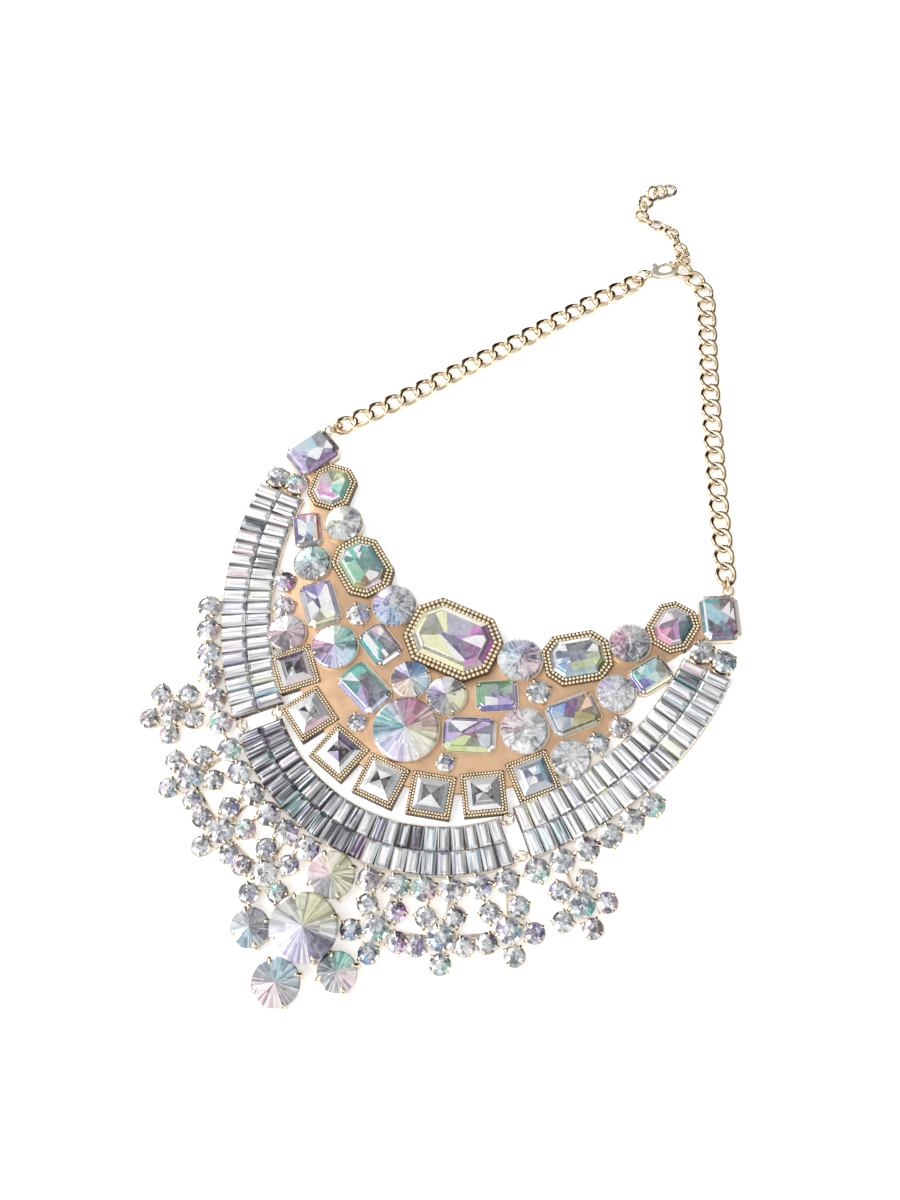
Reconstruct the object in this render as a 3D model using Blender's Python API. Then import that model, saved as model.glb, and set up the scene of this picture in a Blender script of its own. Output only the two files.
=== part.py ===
"""A bib necklace of crystal stones in gold settings, lying flat with its lobster clasp closed.

X = 0 is the line of symmetry of the bib, +Y runs from the pendant to the clasp, and Z = 0 is the
surface that the necklace lies on.
"""

import math
from collections import namedtuple

import bmesh
import bpy
from mathutils import Matrix, Vector

MM = 0.001
UP = Vector((0, 0, 1))

# Driving sizes
BIB_HALF_WIDTH = 94.0 * MM
CLEAR = 0.3 * MM
EMBED = 0.3 * MM
PLATE = 2.6 * MM
SEAT_FLOOR = 1.2 * MM
RIM = 0.55 * MM
GIRDLE = 0.5 * MM
ROUND_SIDES = 10
FLAT_ANGLE = math.radians(0.05)

# Chatons: small round stones in their own four-claw cups
CHATON_HEIGHT = 4.3 * MM
CHATON_CUP = 2.9 * MM
CHATON_SIDES = 8
WEB_THICKNESS = 1.1 * MM
WEB_WIDTH = 2.0 * MM

# Baguette bands
BAND_BASE = 2.7 * MM
BAGUETTE_CROWN = 1.5 * MM
BAGUETTE_BEVEL = 0.95 * MM

# Chains, rings and clasp
CHAIN_WIDTH = 7.8 * MM
CHAIN_HEIGHT = 2.8 * MM
STRAND_STEP = 9.0 * MM
STRAND_SIDES = 6
STRAND_TIP = 0.5
RING_WIRE = 1.1 * MM
RING_OUTER = 6.0 * MM
CLASP_RING_OUTER = 8.0 * MM
JUMP_WIRE = 0.7 * MM
EXTENDER_WIRE = 1.0 * MM
EXTENDER_RING = 5.4 * MM
EXTENDER_HEIGHT = 3.4 * MM
RING_STEPS = 10
WIRE_SIDES = 5

# Lobster clasp
CLASP_LENGTH = 12.4 * MM
CLASP_WIDTH = 7.0 * MM
CLASP_THICKNESS = 2.0 * MM
CLASP_WIRE = 1.5 * MM
CLASP_TURN = math.radians(43)
HOLD_TURN = math.radians(30)
CLASP_EYE = 3.2 * MM
LEVER_THICKNESS = 0.8 * MM
LEVER_WIDTH = 1.3 * MM
PIVOT_PIN = 0.9 * MM
CLASP_STEPS = 20
CLASP_MIDDLE = 0.6 * CLASP_LENGTH
PIVOT_U = 0.27 * CLASP_LENGTH
PIVOT_V = 0.24 * CLASP_WIDTH
SLOT_RADIUS = 0.4 * CLASP_WIDTH
GATE_END = 0.72 * CLASP_LENGTH
TIP_SHARE = 0.44
THUMB_V = 0.67 * CLASP_WIDTH

# Where the chain lies: a few points chosen by hand, from the bib to the clasp, and the free extender
CHAIN_LEFT_ROUTE = [
    (-66.5 * MM, 65.5 * MM),
    (-50.5 * MM, 88.0 * MM),
    (-32.0 * MM, 114.5 * MM),
    (-16.0 * MM, 139.0 * MM),
    (0.7 * MM, 161.9 * MM),
]
CHAIN_RIGHT_ROUTE = [
    (66.9 * MM, 75.8 * MM),
    (51.5 * MM, 109.5 * MM),
    (40.5 * MM, 134.5 * MM),
    (30.8 * MM, 157.5 * MM),
    (25.0 * MM, 168.6 * MM),
]
EXTENDER_ROUTE = [
    (7.6 * MM, 184.6 * MM),
    (1.8 * MM, 191.2 * MM),
    (-5.0 * MM, 190.6 * MM),
    (-10.6 * MM, 191.6 * MM),
    (-12.9 * MM, 198.4 * MM),
    (-10.8 * MM, 206.4 * MM),
    (-4.4 * MM, 212.4 * MM),
]

# Main stones of the right half, as shares of the bib's half width. A mirrored stone has its twin on
# the left. Edge is the width of the beaded frame round it, and 0 leaves it in a plain rim.
Stone = namedtuple("Stone", "name cut x y length width turn edge mirrored")
STONES = [
    Stone("centre_octagon", "octagon", 0.000, -0.137, 0.285, 0.202, 0, 0.034, False),
    Stone("end_rect", "octagon", 0.879, 0.366, 0.172, 0.134, 117, 0.000, True),
    Stone("small_octagon", "octagon", 0.732, 0.259, 0.142, 0.118, 83, 0.026, True),
    Stone("outer_round", "round", 0.611, 0.129, 0.145, 0.145, 0, 0.000, True),
    Stone("mid_octagon", "octagon", 0.455, -0.007, 0.192, 0.138, 35, 0.029, True),
    Stone("inner_round", "round", 0.265, -0.106, 0.161, 0.161, 0, 0.000, True),
    Stone("tilted_rect", "octagon", 0.728, 0.045, 0.140, 0.100, 57, 0.000, True),
    Stone("shoulder_round", "round", 0.641, -0.077, 0.138, 0.138, 0, 0.000, True),
    Stone("big_rect", "octagon", 0.530, -0.218, 0.178, 0.124, 47, 0.000, True),
    Stone("short_rect", "octagon", 0.244, -0.270, 0.148, 0.110, 28, 0.000, True),
    Stone("core_round", "round", 0.0755, -0.349, 0.139, 0.139, 0, 0.000, True),
    Stone("large_round", "round", 0.394, -0.352, 0.168, 0.168, 0, 0.000, True),
    Stone("side_round", "round", 0.590, -0.377, 0.138, 0.138, 0, 0.000, True),
    Stone("wide_rect", "octagon", 0.216, -0.450, 0.184, 0.124, 22, 0.000, True),
    Stone("big_rivoli", "rivoli", 0.000, -0.534, 0.234, 0.234, 0, 0.000, False),
]

# Square stones hang in beaded frames along an arc below the others
SQUARE_COUNT = 7
SQUARE_STONE = 0.113 * BIB_HALF_WIDTH
SQUARE_EDGE = 0.020 * BIB_HALF_WIDTH
SQUARE_ARC_Y = -0.123 * BIB_HALF_WIDTH
SQUARE_ARC_R = 0.617 * BIB_HALF_WIDTH
SQUARE_STEP = math.radians(17.7)
SQUARE_TURN_SHARE = 0.87

# Small chatons set between the main stones, as shares of the bib's half width
Chaton = namedtuple("Chaton", "x y size")
INSET_CHATONS = [
    Chaton(0.377, -0.191, 0.088),
    Chaton(0.181, -0.580, 0.068),
    Chaton(0.704, -0.190, 0.080),
    Chaton(0.654, -0.284, 0.080),
]

# The plate that joins the settings: corners on the right half, as shares of the bib's half width
Corner = namedtuple("Corner", "x y")
PLATE_CORNERS = [
    Corner(0.000, -0.060),
    Corner(0.265, -0.075),
    Corner(0.450, 0.050),
    Corner(0.600, 0.140),
    Corner(0.720, 0.290),
    Corner(0.860, 0.400),
    Corner(0.890, 0.320),
    Corner(0.765, 0.130),
    Corner(0.730, 0.020),
    Corner(0.650, -0.110),
    Corner(0.700, -0.180),
    Corner(0.660, -0.280),
    Corner(0.580, -0.400),
    Corner(0.490, -0.510),
    Corner(0.350, -0.625),
    Corner(0.190, -0.700),
    Corner(0.000, -0.730),
]

# Baguette bands: two rows of baguettes along an arc, turned down from +X on an arm
Band = namedtuple("Band", "x y radius start end row count")
ARM_BAND = Band(-0.330, 0.190, 1.240, math.radians(1.5), math.radians(45.5), 0.097, 19)
CENTRE_BAND = Band(0.000, -0.214, 0.731, math.radians(46.5), math.radians(133.5), 0.087, 22)
ARM_END_CHATONS = [Chaton(0.870, 0.212, 0.085), Chaton(0.957, 0.208, 0.085)]
END_TAB_Y = 0.130 * BIB_HALF_WIDTH
END_TAB_WIDTH = 0.085 * BIB_HALF_WIDTH

# Chaton rows that follow the outside of the bands
ROW_CHATON = 0.087 * BIB_HALF_WIDTH
ARM_ROW_COUNT = 6
ARM_ROW_START = math.radians(25.6)
ARM_ROW_STEP = math.radians(3.95)
BASE_ROW_COUNT = 6
BASE_ROW_START = math.radians(98.4)
BASE_ROW_STEP = math.radians(6.4)

# Flowers: a centre chaton and five petals
Flower = namedtuple("Flower", "name x y phase")
PETAL_COUNT = 5
FLOWER_CENTRE = 0.089 * BIB_HALF_WIDTH
PETAL = 0.073 * BIB_HALF_WIDTH
PETAL_REACH = 0.0875 * BIB_HALF_WIDTH
ARM_FLOWER = Flower("arm", 0.829, -0.836, math.radians(30))
BASE_FLOWERS = [
    Flower("outer", 0.638, -1.022, math.radians(19)),
    Flower("middle", 0.436, -1.146, math.radians(7.5)),
    Flower("inner", 0.221, -1.211, math.radians(64.5)),
]

# Pendants below the centre band, as shares of the bib's half width
Pendant = namedtuple("Pendant", "name x y size")
PENDANTS = [
    Pendant("pendant_top", 0.000, -1.118, 0.162),
    Pendant("pendant_big", 0.000, -1.318, 0.232),
    Pendant("pendant_bottom", 0.000, -1.519, 0.162),
    Pendant("pendant_left", -0.171, -1.398, 0.134),
    Pendant("pendant_right", 0.171, -1.398, 0.134),
]
PENDANT_CUP_SHARE = 0.84
PENDANT_CUP = 2.0 * MM
PENDANT_BAR = 2.4 * MM

# How deep a stone is below its girdle, how high above it, and how wide its table is
PAVILION_SHARE = 0.16
CROWN_SHARE = 0.115
TABLE_INSET = {"octagon": 0.21, "round": 0.24, "rivoli": 0.37}
CORNER_CUT = {"octagon": 0.26}
SQUARE_CORNER = 0.12


def clear_scene():
    """Remove the startup objects."""
    for obj in list(bpy.data.objects):
        bpy.data.objects.remove(obj)


def material(name, colour, roughness, metallic):
    """One Principled material."""
    made = bpy.data.materials.new(name)
    made.use_nodes = True
    shader = made.node_tree.nodes["Principled BSDF"]
    shader.inputs["Base Color"].default_value = (*colour, 1)
    shader.inputs["Roughness"].default_value = roughness
    shader.inputs["Metallic"].default_value = metallic
    return made


def at(x, y, z=0.0):
    """A point given in shares of the bib's half width, with its height in metres."""
    return Vector((x * BIB_HALF_WIDTH, y * BIB_HALF_WIDTH, z))


def octagon(length, width, corner):
    """Outline of a rectangle with cut corners."""
    half_l = length / 2
    half_w = width / 2
    return [
        Vector((half_l, half_w - corner, 0)),
        Vector((half_l - corner, half_w, 0)),
        Vector((corner - half_l, half_w, 0)),
        Vector((-half_l, half_w - corner, 0)),
        Vector((-half_l, corner - half_w, 0)),
        Vector((corner - half_l, -half_w, 0)),
        Vector((half_l - corner, -half_w, 0)),
        Vector((half_l, corner - half_w, 0)),
    ]


def circle(radius, sides):
    """Outline of a regular polygon, with a flat side to +X."""
    step = math.tau / sides
    return [
        Vector((radius * math.cos((k + 0.5) * step), radius * math.sin((k + 0.5) * step), 0))
        for k in range(sides)
    ]


def lift(outline, z):
    """The outline at height z."""
    return [Vector((p.x, p.y, z)) for p in outline]


def placed(outline, place, turn):
    """The outline turned about Z and moved."""
    move = Matrix.Translation(place) @ Matrix.Rotation(turn, 4, "Z")
    return [move @ p for p in outline]


def loft(shape, rings):
    """Close a stack of rings of equal length into one shell, where a ring of one point is a tip."""
    loops = [[shape.verts.new(p) for p in ring] for ring in rings]
    for low, high in zip(loops, loops[1:]):
        count = max(len(low), len(high))
        for k in range(count):
            after = (k + 1) % count
            if len(low) == 1:
                shape.faces.new((low[0], high[after], high[k]))
            elif len(high) == 1:
                shape.faces.new((low[k], low[after], high[0]))
            else:
                shape.faces.new((low[k], low[after], high[after], high[k]))
    if len(loops[0]) > 1:
        shape.faces.new(loops[0][::-1])
    if len(loops[-1]) > 1:
        shape.faces.new(loops[-1])


def prism(shape, outline, low, high):
    """An upright block over the outline."""
    loft(shape, [lift(outline, low), lift(outline, high)])


def bar(shape, start, end, width, low, high):
    """An upright block from start to end."""
    along = (end - start).normalized()
    side = along.cross(UP) * width / 2
    prism(shape, [start + side, end + side, end - side, start - side], low, high)


def tube(shape, points, wire, closed_up=UP):
    """A closed wire along a loop of points."""
    count = len(points)
    rings = []
    for k, point in enumerate(points):
        along = (points[(k + 1) % count] - points[k - 1]).normalized()
        side = along.cross(closed_up).normalized()
        rise = side.cross(along)
        rings.append([
            shape.verts.new(point + wire / 2 * (side * math.cos(turn) + rise * math.sin(turn)))
            for turn in [math.tau * n / WIRE_SIDES for n in range(WIRE_SIDES)]
        ])
    for k, ring in enumerate(rings):
        after = rings[(k + 1) % count]
        for n in range(WIRE_SIDES):
            other = (n + 1) % WIRE_SIDES
            shape.faces.new((ring[n], ring[other], after[other], after[n]))


def ring_points(place, along, across, radius):
    """Points of a round ring in the plane of two unit directions."""
    return [
        place + radius * (along * math.cos(turn) + across * math.sin(turn))
        for turn in [math.tau * k / RING_STEPS for k in range(RING_STEPS)]
    ]


def finished(shape, name, finish, drop=False):
    """Turn a bmesh into an object, with its faces outwards."""
    bmesh.ops.recalc_face_normals(shape, faces=shape.faces)
    mesh = bpy.data.meshes.new(name)
    shape.to_mesh(mesh)
    shape.free()
    obj = bpy.data.objects.new(name, mesh)
    bpy.context.collection.objects.link(obj)
    if finish is not None:
        mesh.materials.append(finish)
    if drop:
        obj.hide_render = True
        obj.display_type = "WIRE"
    return obj


def combine(target, other, operation):
    """Apply an exact Boolean with the other object, then remove that object."""
    step = target.modifiers.new(operation.title(), "BOOLEAN")
    step.operation = operation
    step.solver = "EXACT"
    step.use_self = True
    step.object = other
    graph = bpy.context.evaluated_depsgraph_get()
    mesh = bpy.data.meshes.new_from_object(target.evaluated_get(graph))
    flat = bmesh.new()
    flat.from_mesh(mesh)
    bmesh.ops.dissolve_limit(flat, angle_limit=FLAT_ANGLE, verts=flat.verts, edges=flat.edges)
    flat.to_mesh(mesh)
    flat.free()
    target.modifiers.clear()
    old = target.data
    target.data = mesh
    mesh.name = target.name
    bpy.data.meshes.remove(old)
    bpy.data.objects.remove(other)


def fused(name, finish, base, parts):
    """One body from a base shell and many overlapping shells."""
    target = finished(base, name, finish)
    combine(target, finished(parts, name + "_parts", finish, drop=True), "UNION")
    return target


def cut_away(target, cutters):
    """Cut a set of shells out of an object."""
    combine(target, finished(cutters, target.name + "_cut", None, drop=True), "DIFFERENCE")


def stone_outline(cut, length, width, grow):
    """Outline of a stone's girdle, grown all round."""
    if cut == "octagon":
        corner = CORNER_CUT["octagon"] * width + grow * (2 - math.sqrt(2))
        return octagon(length + 2 * grow, width + 2 * grow, corner)
    if cut == "square":
        corner = SQUARE_CORNER * width + grow * (2 - math.sqrt(2))
        return octagon(length + 2 * grow, width + 2 * grow, corner)
    return circle(length / 2 + grow, ROUND_SIDES)


def girdle_height(width, floor):
    """Height of the girdle's lower edge of a stone that hangs just over its seat."""
    return floor + CLEAR + PAVILION_SHARE * width


def gem(name, finish, cut, place, length, width, turn, floor):
    """A faceted stone with a pointed back, a girdle, a sloping crown and a flat table."""
    low = girdle_height(width, floor)
    inset = TABLE_INSET.get(cut, TABLE_INSET["octagon"]) * width
    rim = stone_outline(cut, length, width, 0)
    table = stone_outline(cut, length, width, -inset)
    if cut in ("octagon", "square"):
        table = octagon(length - 2 * inset, width - 2 * inset, CORNER_CUT["octagon"] * (width - 2 * inset))
    rings = [
        [Vector((0, 0, floor + CLEAR))],
        lift(rim, low),
        lift(rim, low + GIRDLE),
        lift(table, low + GIRDLE + CROWN_SHARE * width),
    ]
    shape = bmesh.new()
    loft(shape, [placed(ring, place, turn) for ring in rings])
    return finished(shape, name, finish)


def chaton(shape, place, size, turn=0.0):
    """A small stone in a tapered cup, as one shell."""
    radius = size / 2
    rings = [
        lift(circle(0.66 * radius, CHATON_SIDES), 0),
        lift(circle(radius, CHATON_SIDES), CHATON_CUP),
        lift(circle(0.52 * radius, CHATON_SIDES), CHATON_HEIGHT),
    ]
    loft(shape, [placed(ring, place, turn) for ring in rings])


def flower(shape, webs, side, entry):
    """Five petals round a centre chaton, joined by a star of metal underneath."""
    middle = at(side * entry.x, entry.y)
    chaton(shape, middle, FLOWER_CENTRE)
    star = []
    for k in range(PETAL_COUNT):
        turn = entry.phase + math.tau * k / PETAL_COUNT
        away = Vector((side * math.cos(turn), math.sin(turn), 0))
        across = Vector((-side * math.sin(turn), math.cos(turn), 0)) * WEB_WIDTH / 2
        notch = entry.phase + math.tau * (k + 0.5) / PETAL_COUNT
        between = Vector((side * math.cos(notch), math.sin(notch), 0))
        chaton(shape, middle + away * PETAL_REACH, PETAL, turn * side)
        star.append(middle + away * PETAL_REACH - across)
        star.append(middle + away * PETAL_REACH + across)
        star.append(middle + between * WEB_WIDTH)
    prism(webs, star, 0, WEB_THICKNESS)


def square_places():
    """Name, place and turn of each square stone, from left to right."""
    found = []
    half = (SQUARE_COUNT - 1) / 2
    for k in range(SQUARE_COUNT):
        turn = (k - half) * SQUARE_STEP
        place = Vector((SQUARE_ARC_R * math.sin(turn), SQUARE_ARC_Y - SQUARE_ARC_R * math.cos(turn), 0))
        found.append((f"square_{k + 1}", place, turn * SQUARE_TURN_SHARE))
    return found


def seats():
    """Name, cut, place, length, width, turn and frame width of every stone of the bib."""
    found = []
    for stone in STONES:
        for side, ending in ((1, "_right"), (-1, "_left")):
            if side < 0 and not stone.mirrored:
                continue
            found.append((
                stone.name + (ending if stone.mirrored else ""),
                stone.cut,
                at(side * stone.x, stone.y),
                stone.length * BIB_HALF_WIDTH,
                stone.width * BIB_HALF_WIDTH,
                side * math.radians(stone.turn),
                stone.edge * BIB_HALF_WIDTH,
            ))
    for name, place, turn in square_places():
        found.append((name, "square", place, SQUARE_STONE, SQUARE_STONE, turn, SQUARE_EDGE))
    return found


def setting_outline(seat, extra=0.0):
    """Outline of the metal round one stone."""
    name, cut, place, length, width, turn, edge = seat
    return placed(stone_outline(cut, length, width, CLEAR + max(edge, RIM) + extra), place, turn)


def bib_outline():
    """The joining plate, mirrored to a closed outline."""
    right = [at(corner.x, corner.y) for corner in PLATE_CORNERS]
    left = [Vector((-p.x, p.y, 0)) for p in right[1:-1]]
    return right[::-1] + left


def chain_loop(side):
    """Middle of the flat loop that carries a chain, and the way the chain leaves."""
    route = CHAIN_RIGHT_ROUTE if side > 0 else CHAIN_LEFT_ROUTE
    end = next(seat for seat in seats() if seat[0] == ("end_rect_right" if side > 0 else "end_rect_left"))
    top = max(setting_outline(end), key=lambda p: p.y)
    middle = Vector((top.x, top.y + RING_OUTER / 4, RING_OUTER / 2))
    away = Vector((*route[0], RING_OUTER / 2)) - middle
    return middle, away.normalized()


def bib_frame(gold):
    """The cast plate with its rims, beaded frames, small chatons and chain loops."""
    base = bmesh.new()
    prism(base, bib_outline(), 0, PLATE)
    parts = bmesh.new()
    cutters = bmesh.new()
    for seat in seats():
        name, cut, place, length, width, turn, edge = seat
        top = girdle_height(width, SEAT_FLOOR) if edge else PLATE
        prism(parts, setting_outline(seat), 0, top)
        hole = placed(stone_outline(cut, length, width, CLEAR), place, turn)
        prism(cutters, hole, SEAT_FLOOR, girdle_height(width, SEAT_FLOOR) + PLATE)
    for entry in INSET_CHATONS:
        for side in (1, -1):
            chaton(parts, at(side * entry.x, entry.y), entry.size * BIB_HALF_WIDTH)
    for side in (1, -1):
        middle, away = chain_loop(side)
        across = away.cross(UP)
        tube(parts, ring_points(middle, away, across, RING_OUTER / 2 - RING_WIRE), RING_WIRE)
        low = Vector((middle.x, middle.y - RING_OUTER / 2, 0))
        bar(parts, low, Vector((middle.x, middle.y - RING_OUTER / 4, 0)), RING_WIRE * 2, 0, middle.z)
    frame = fused("bib_frame", gold, base, parts)
    cut_away(frame, cutters)
    return frame


def arc_point(band, side, radius, turn):
    """A point of a band's arc: turn runs down from +X."""
    middle = at(side * band.x, band.y)
    return middle + radius * Vector((side * math.cos(turn), -math.sin(turn), 0))


def baguettes(shape, band, side):
    """Two rows of bevelled baguettes that share the grooves between them, as one closed shell."""
    radius = band.radius * BIB_HALF_WIDTH
    row = band.row * BIB_HALF_WIDTH
    step = (band.end - band.start) / band.count
    lines = [radius - row, radius, radius + row]
    grid = [
        [shape.verts.new(arc_point(band, side, line, band.start + k * step) + UP * BAND_BASE) for line in lines]
        for k in range(band.count + 1)
    ]
    for k in range(band.count):
        for n in (0, 1):
            corners = [grid[k][n], grid[k][n + 1], grid[k + 1][n + 1], grid[k + 1][n]]
            low = lines[n] + BAGUETTE_BEVEL
            high = lines[n + 1] - BAGUETTE_BEVEL
            skew = BAGUETTE_BEVEL / radius
            z = UP * (BAND_BASE + BAGUETTE_CROWN)
            first = band.start + k * step + skew
            last = band.start + (k + 1) * step - skew
            inner = [
                shape.verts.new(arc_point(band, side, low, first) + z),
                shape.verts.new(arc_point(band, side, high, first) + z),
                shape.verts.new(arc_point(band, side, high, last) + z),
                shape.verts.new(arc_point(band, side, low, last) + z),
            ]
            for m in range(4):
                after = (m + 1) % 4
                shape.faces.new((corners[m], corners[after], inner[after], inner[m]))
            shape.faces.new(inner)
    rim = [row[0] for row in grid] + [grid[-1][1]] + [row[2] for row in reversed(grid)] + [grid[0][1]]
    floor = [shape.verts.new((v.co.x, v.co.y, 0)) for v in rim]
    for k in range(len(rim)):
        after = (k + 1) % len(rim)
        shape.faces.new((rim[k], rim[after], floor[after], floor[k]))
    shape.faces.new(floor)


def band_end(band, side, share, last):
    """A point on the end wall of a band and the way out of it."""
    turn = band.end if last else band.start
    place = arc_point(band, side, (band.radius + share * band.row) * BIB_HALF_WIDTH, turn)
    out = Vector((side * math.sin(turn), math.cos(turn), 0)) * (-1 if last else 1)
    return place, out


def eye(shape, place, out):
    """A standing eye that a jump ring passes through."""
    radius = JUMP_WIRE + CLEAR
    middle = place + out * (radius + JUMP_WIRE / 4) + UP * (radius + JUMP_WIRE)
    tube(shape, ring_points(middle, out, UP, radius), JUMP_WIRE, out.cross(UP))
    return middle


def arm_band(side, ending, gold):
    """A curved arm with two rows of baguettes and two chatons at its top."""
    base = bmesh.new()
    baguettes(base, ARM_BAND, side)
    parts = bmesh.new()
    for entry in ARM_END_CHATONS:
        chaton(parts, at(side * entry.x, entry.y), entry.size * BIB_HALF_WIDTH)
        place = at(side * entry.x, entry.y)
        bar(parts, Vector((place.x, END_TAB_Y, 0)), place, END_TAB_WIDTH, 0, WEB_THICKNESS)
    eyes = []
    for share in (-0.75, 0.75):
        place, out = band_end(ARM_BAND, side, share, True)
        eyes.append(eye(parts, place, out))
    arm = fused("arm_band" + ending, gold, base, parts)
    cutters = bmesh.new()
    near = ("side_round", "square_1", "square_7", "small_octagon", "end_rect", "tilted_rect")
    for seat in seats():
        if seat[0].startswith(near) and seat[2].x * side > 0:
            prism(cutters, setting_outline(seat, CLEAR), -PLATE, 4 * PLATE)
    for entry in INSET_CHATONS[2:]:
        outline = circle(entry.size * BIB_HALF_WIDTH / 2 + CLEAR, 2 * CHATON_SIDES)
        prism(cutters, placed(outline, at(side * entry.x, entry.y), 0), -PLATE, 4 * PLATE)
    cut_away(arm, cutters)
    return eyes


def centre_band(gold):
    """The curved centre band, with an eye at each end of each row."""
    base = bmesh.new()
    baguettes(base, CENTRE_BAND, 1)
    parts = bmesh.new()
    eyes = {1: [], -1: []}
    for side, last in ((1, False), (-1, True)):
        for share in (-0.75, 0.75):
            turn = CENTRE_BAND.end if last else CENTRE_BAND.start
            radius = (CENTRE_BAND.radius + share * CENTRE_BAND.row) * BIB_HALF_WIDTH
            place = arc_point(CENTRE_BAND, 1, radius, turn)
            out = Vector((side * abs(math.sin(turn)), abs(math.cos(turn)), 0))
            eyes[side].append(eye(parts, place, out))
    fused("centre_band", gold, base, parts)
    return eyes


def jump_ring(name, gold, first, second):
    """A flat ring through two standing eyes."""
    middle = (first + second) / 2
    along = (second - first).normalized()
    across = along.cross(UP).normalized()
    shape = bmesh.new()
    tube(shape, ring_points(middle, along, across, (second - first).length / 2), JUMP_WIRE)
    finished(shape, name, gold)


def arm_row(side, ending, gold):
    """Chatons along the outside of an arm, with the flower at their lower end."""
    base = bmesh.new()
    parts = bmesh.new()
    radius = (ARM_BAND.radius + ARM_BAND.row) * BIB_HALF_WIDTH + ROW_CHATON / 2 + CLEAR
    places = [
        arc_point(ARM_BAND, side, radius, ARM_ROW_START + k * ARM_ROW_STEP) for k in range(ARM_ROW_COUNT)
    ]
    for place in places:
        chaton(parts, place, ROW_CHATON)
    for start, end in zip(places, places[1:]):
        bar(parts, start, end, WEB_WIDTH, 0, WEB_THICKNESS)
    flower(parts, base, side, ARM_FLOWER)
    middle = at(side * ARM_FLOWER.x, ARM_FLOWER.y)
    near = min(places, key=lambda p: (p - middle).length)
    bar(parts, near, middle, WEB_WIDTH, 0, WEB_THICKNESS)
    fused("arm_row" + ending, gold, base, parts)


def base_field(side, ending, gold):
    """Chatons along the outside of the centre band and the three flowers below them."""
    base = bmesh.new()
    parts = bmesh.new()
    radius = (CENTRE_BAND.radius + CENTRE_BAND.row) * BIB_HALF_WIDTH + ROW_CHATON / 2 + CLEAR
    places = [
        arc_point(CENTRE_BAND, -side, radius, BASE_ROW_START + k * BASE_ROW_STEP)
        for k in range(BASE_ROW_COUNT)
    ]
    for place in places:
        chaton(parts, place, ROW_CHATON)
    for start, end in zip(places, places[1:]):
        bar(base, start, end, WEB_WIDTH, 0, WEB_THICKNESS)
    middles = []
    for entry in BASE_FLOWERS:
        flower(parts, parts, side, entry)
        middle = at(side * entry.x, entry.y)
        near = min(places, key=lambda p: (p - middle).length)
        bar(parts, near, middle, WEB_WIDTH, 0, WEB_THICKNESS)
        middles.append(middle)
    for start, end in zip(middles, middles[1:]):
        bar(parts, start, end, WEB_WIDTH, 0, WEB_THICKNESS)
    fused("base_field" + ending, gold, base, parts)


def pendants(gold, crystal):
    """Five pointed stones on open cups that bars join to the centre band."""
    base = bmesh.new()
    parts = bmesh.new()
    places = {entry.name: at(entry.x, entry.y) for entry in PENDANTS}
    for entry in PENDANTS:
        size = entry.size * BIB_HALF_WIDTH
        cup = [
            lift(circle(0.8 * PENDANT_CUP_SHARE * size / 2, ROUND_SIDES), 0),
            lift(circle(PENDANT_CUP_SHARE * size / 2, ROUND_SIDES), PENDANT_CUP),
        ]
        loft(parts, [placed(ring, places[entry.name], 0) for ring in cup])
        gem(entry.name, crystal, "rivoli", places[entry.name], size, size, 0, PENDANT_CUP)
    big = places["pendant_big"]
    band_edge = at(0, CENTRE_BAND.y - CENTRE_BAND.radius - CENTRE_BAND.row)
    bar(base, band_edge - Vector((0, CLEAR, 0)), places["pendant_bottom"], PENDANT_BAR, 0, WEB_THICKNESS)
    for name in ("pendant_left", "pendant_right"):
        bar(parts, places[name], big, PENDANT_BAR, 0, WEB_THICKNESS)
    fused("pendant_frame", gold, base, parts)


def route_stops(route, spacing):
    """Points about this far apart along the smooth curve through the route's points."""
    curve = smooth(route)
    spans = [(b - a).length for a, b in zip(curve, curve[1:])]
    count = round(sum(spans) / spacing)
    found = []
    for k in range(count):
        distance = sum(spans) * k / count
        piece = 0
        while distance > spans[piece]:
            distance -= spans[piece]
            piece += 1
        found.append(curve[piece].lerp(curve[piece + 1], distance / spans[piece]))
    return [*found, curve[-1]]


def smooth(route, pieces=12):
    """Points of a Catmull-Rom curve through the route."""
    points = [Vector((*p, 0)) for p in route]
    padded = [2 * points[0] - points[1], *points, 2 * points[-1] - points[-2]]
    found = []
    for a, b, c, d in zip(padded, padded[1:], padded[2:], padded[3:]):
        for k in range(pieces):
            t = k / pieces
            found.append(0.5 * (
                2 * b + (c - a) * t + (2 * a - 5 * b + 4 * c - d) * t * t
                + (3 * b - a - 3 * c + d) * t * t * t
            ))
    found.append(points[-1])
    return found


def strand(shape, stops, width, height):
    """A flat tube in place of a chain's links, narrow at both tips."""
    last = len(stops) - 1
    rings = []
    for k, stop in enumerate(stops):
        along = (stops[min(k + 1, last)] - stops[max(k - 1, 0)]).normalized()
        share = STRAND_TIP if k in (0, last) else 1
        rings.append([
            stop + along.cross(UP) * (p.x * share * width / 2) + UP * (height / 2 * (1 + p.y * share))
            for p in circle(1, STRAND_SIDES)
        ])
    loft(shape, rings)


def standing_ring(shape, middle, along, outer):
    """An upright ring in the plane of its chain."""
    tube(shape, ring_points(middle, along, UP, (outer - RING_WIRE) / 2), RING_WIRE, along.cross(UP))


def loop_ring(side):
    """Middle of the standing ring that joins a chain to the bib, and the way the chain leaves."""
    loop, away = chain_loop(side)
    loop_radius = RING_OUTER / 2 - RING_WIRE
    inside = (RING_OUTER - RING_WIRE) / 2 - RING_WIRE - CLEAR
    return loop + away * (loop_radius + inside), away


def chain_start(side):
    """Where a chain starts, at the middle of its ring."""
    middle = loop_ring(side)[0]
    return (middle.x, middle.y)


def facing(turn):
    """A level unit direction."""
    return Vector((math.cos(turn), math.sin(turn), 0))


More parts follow.
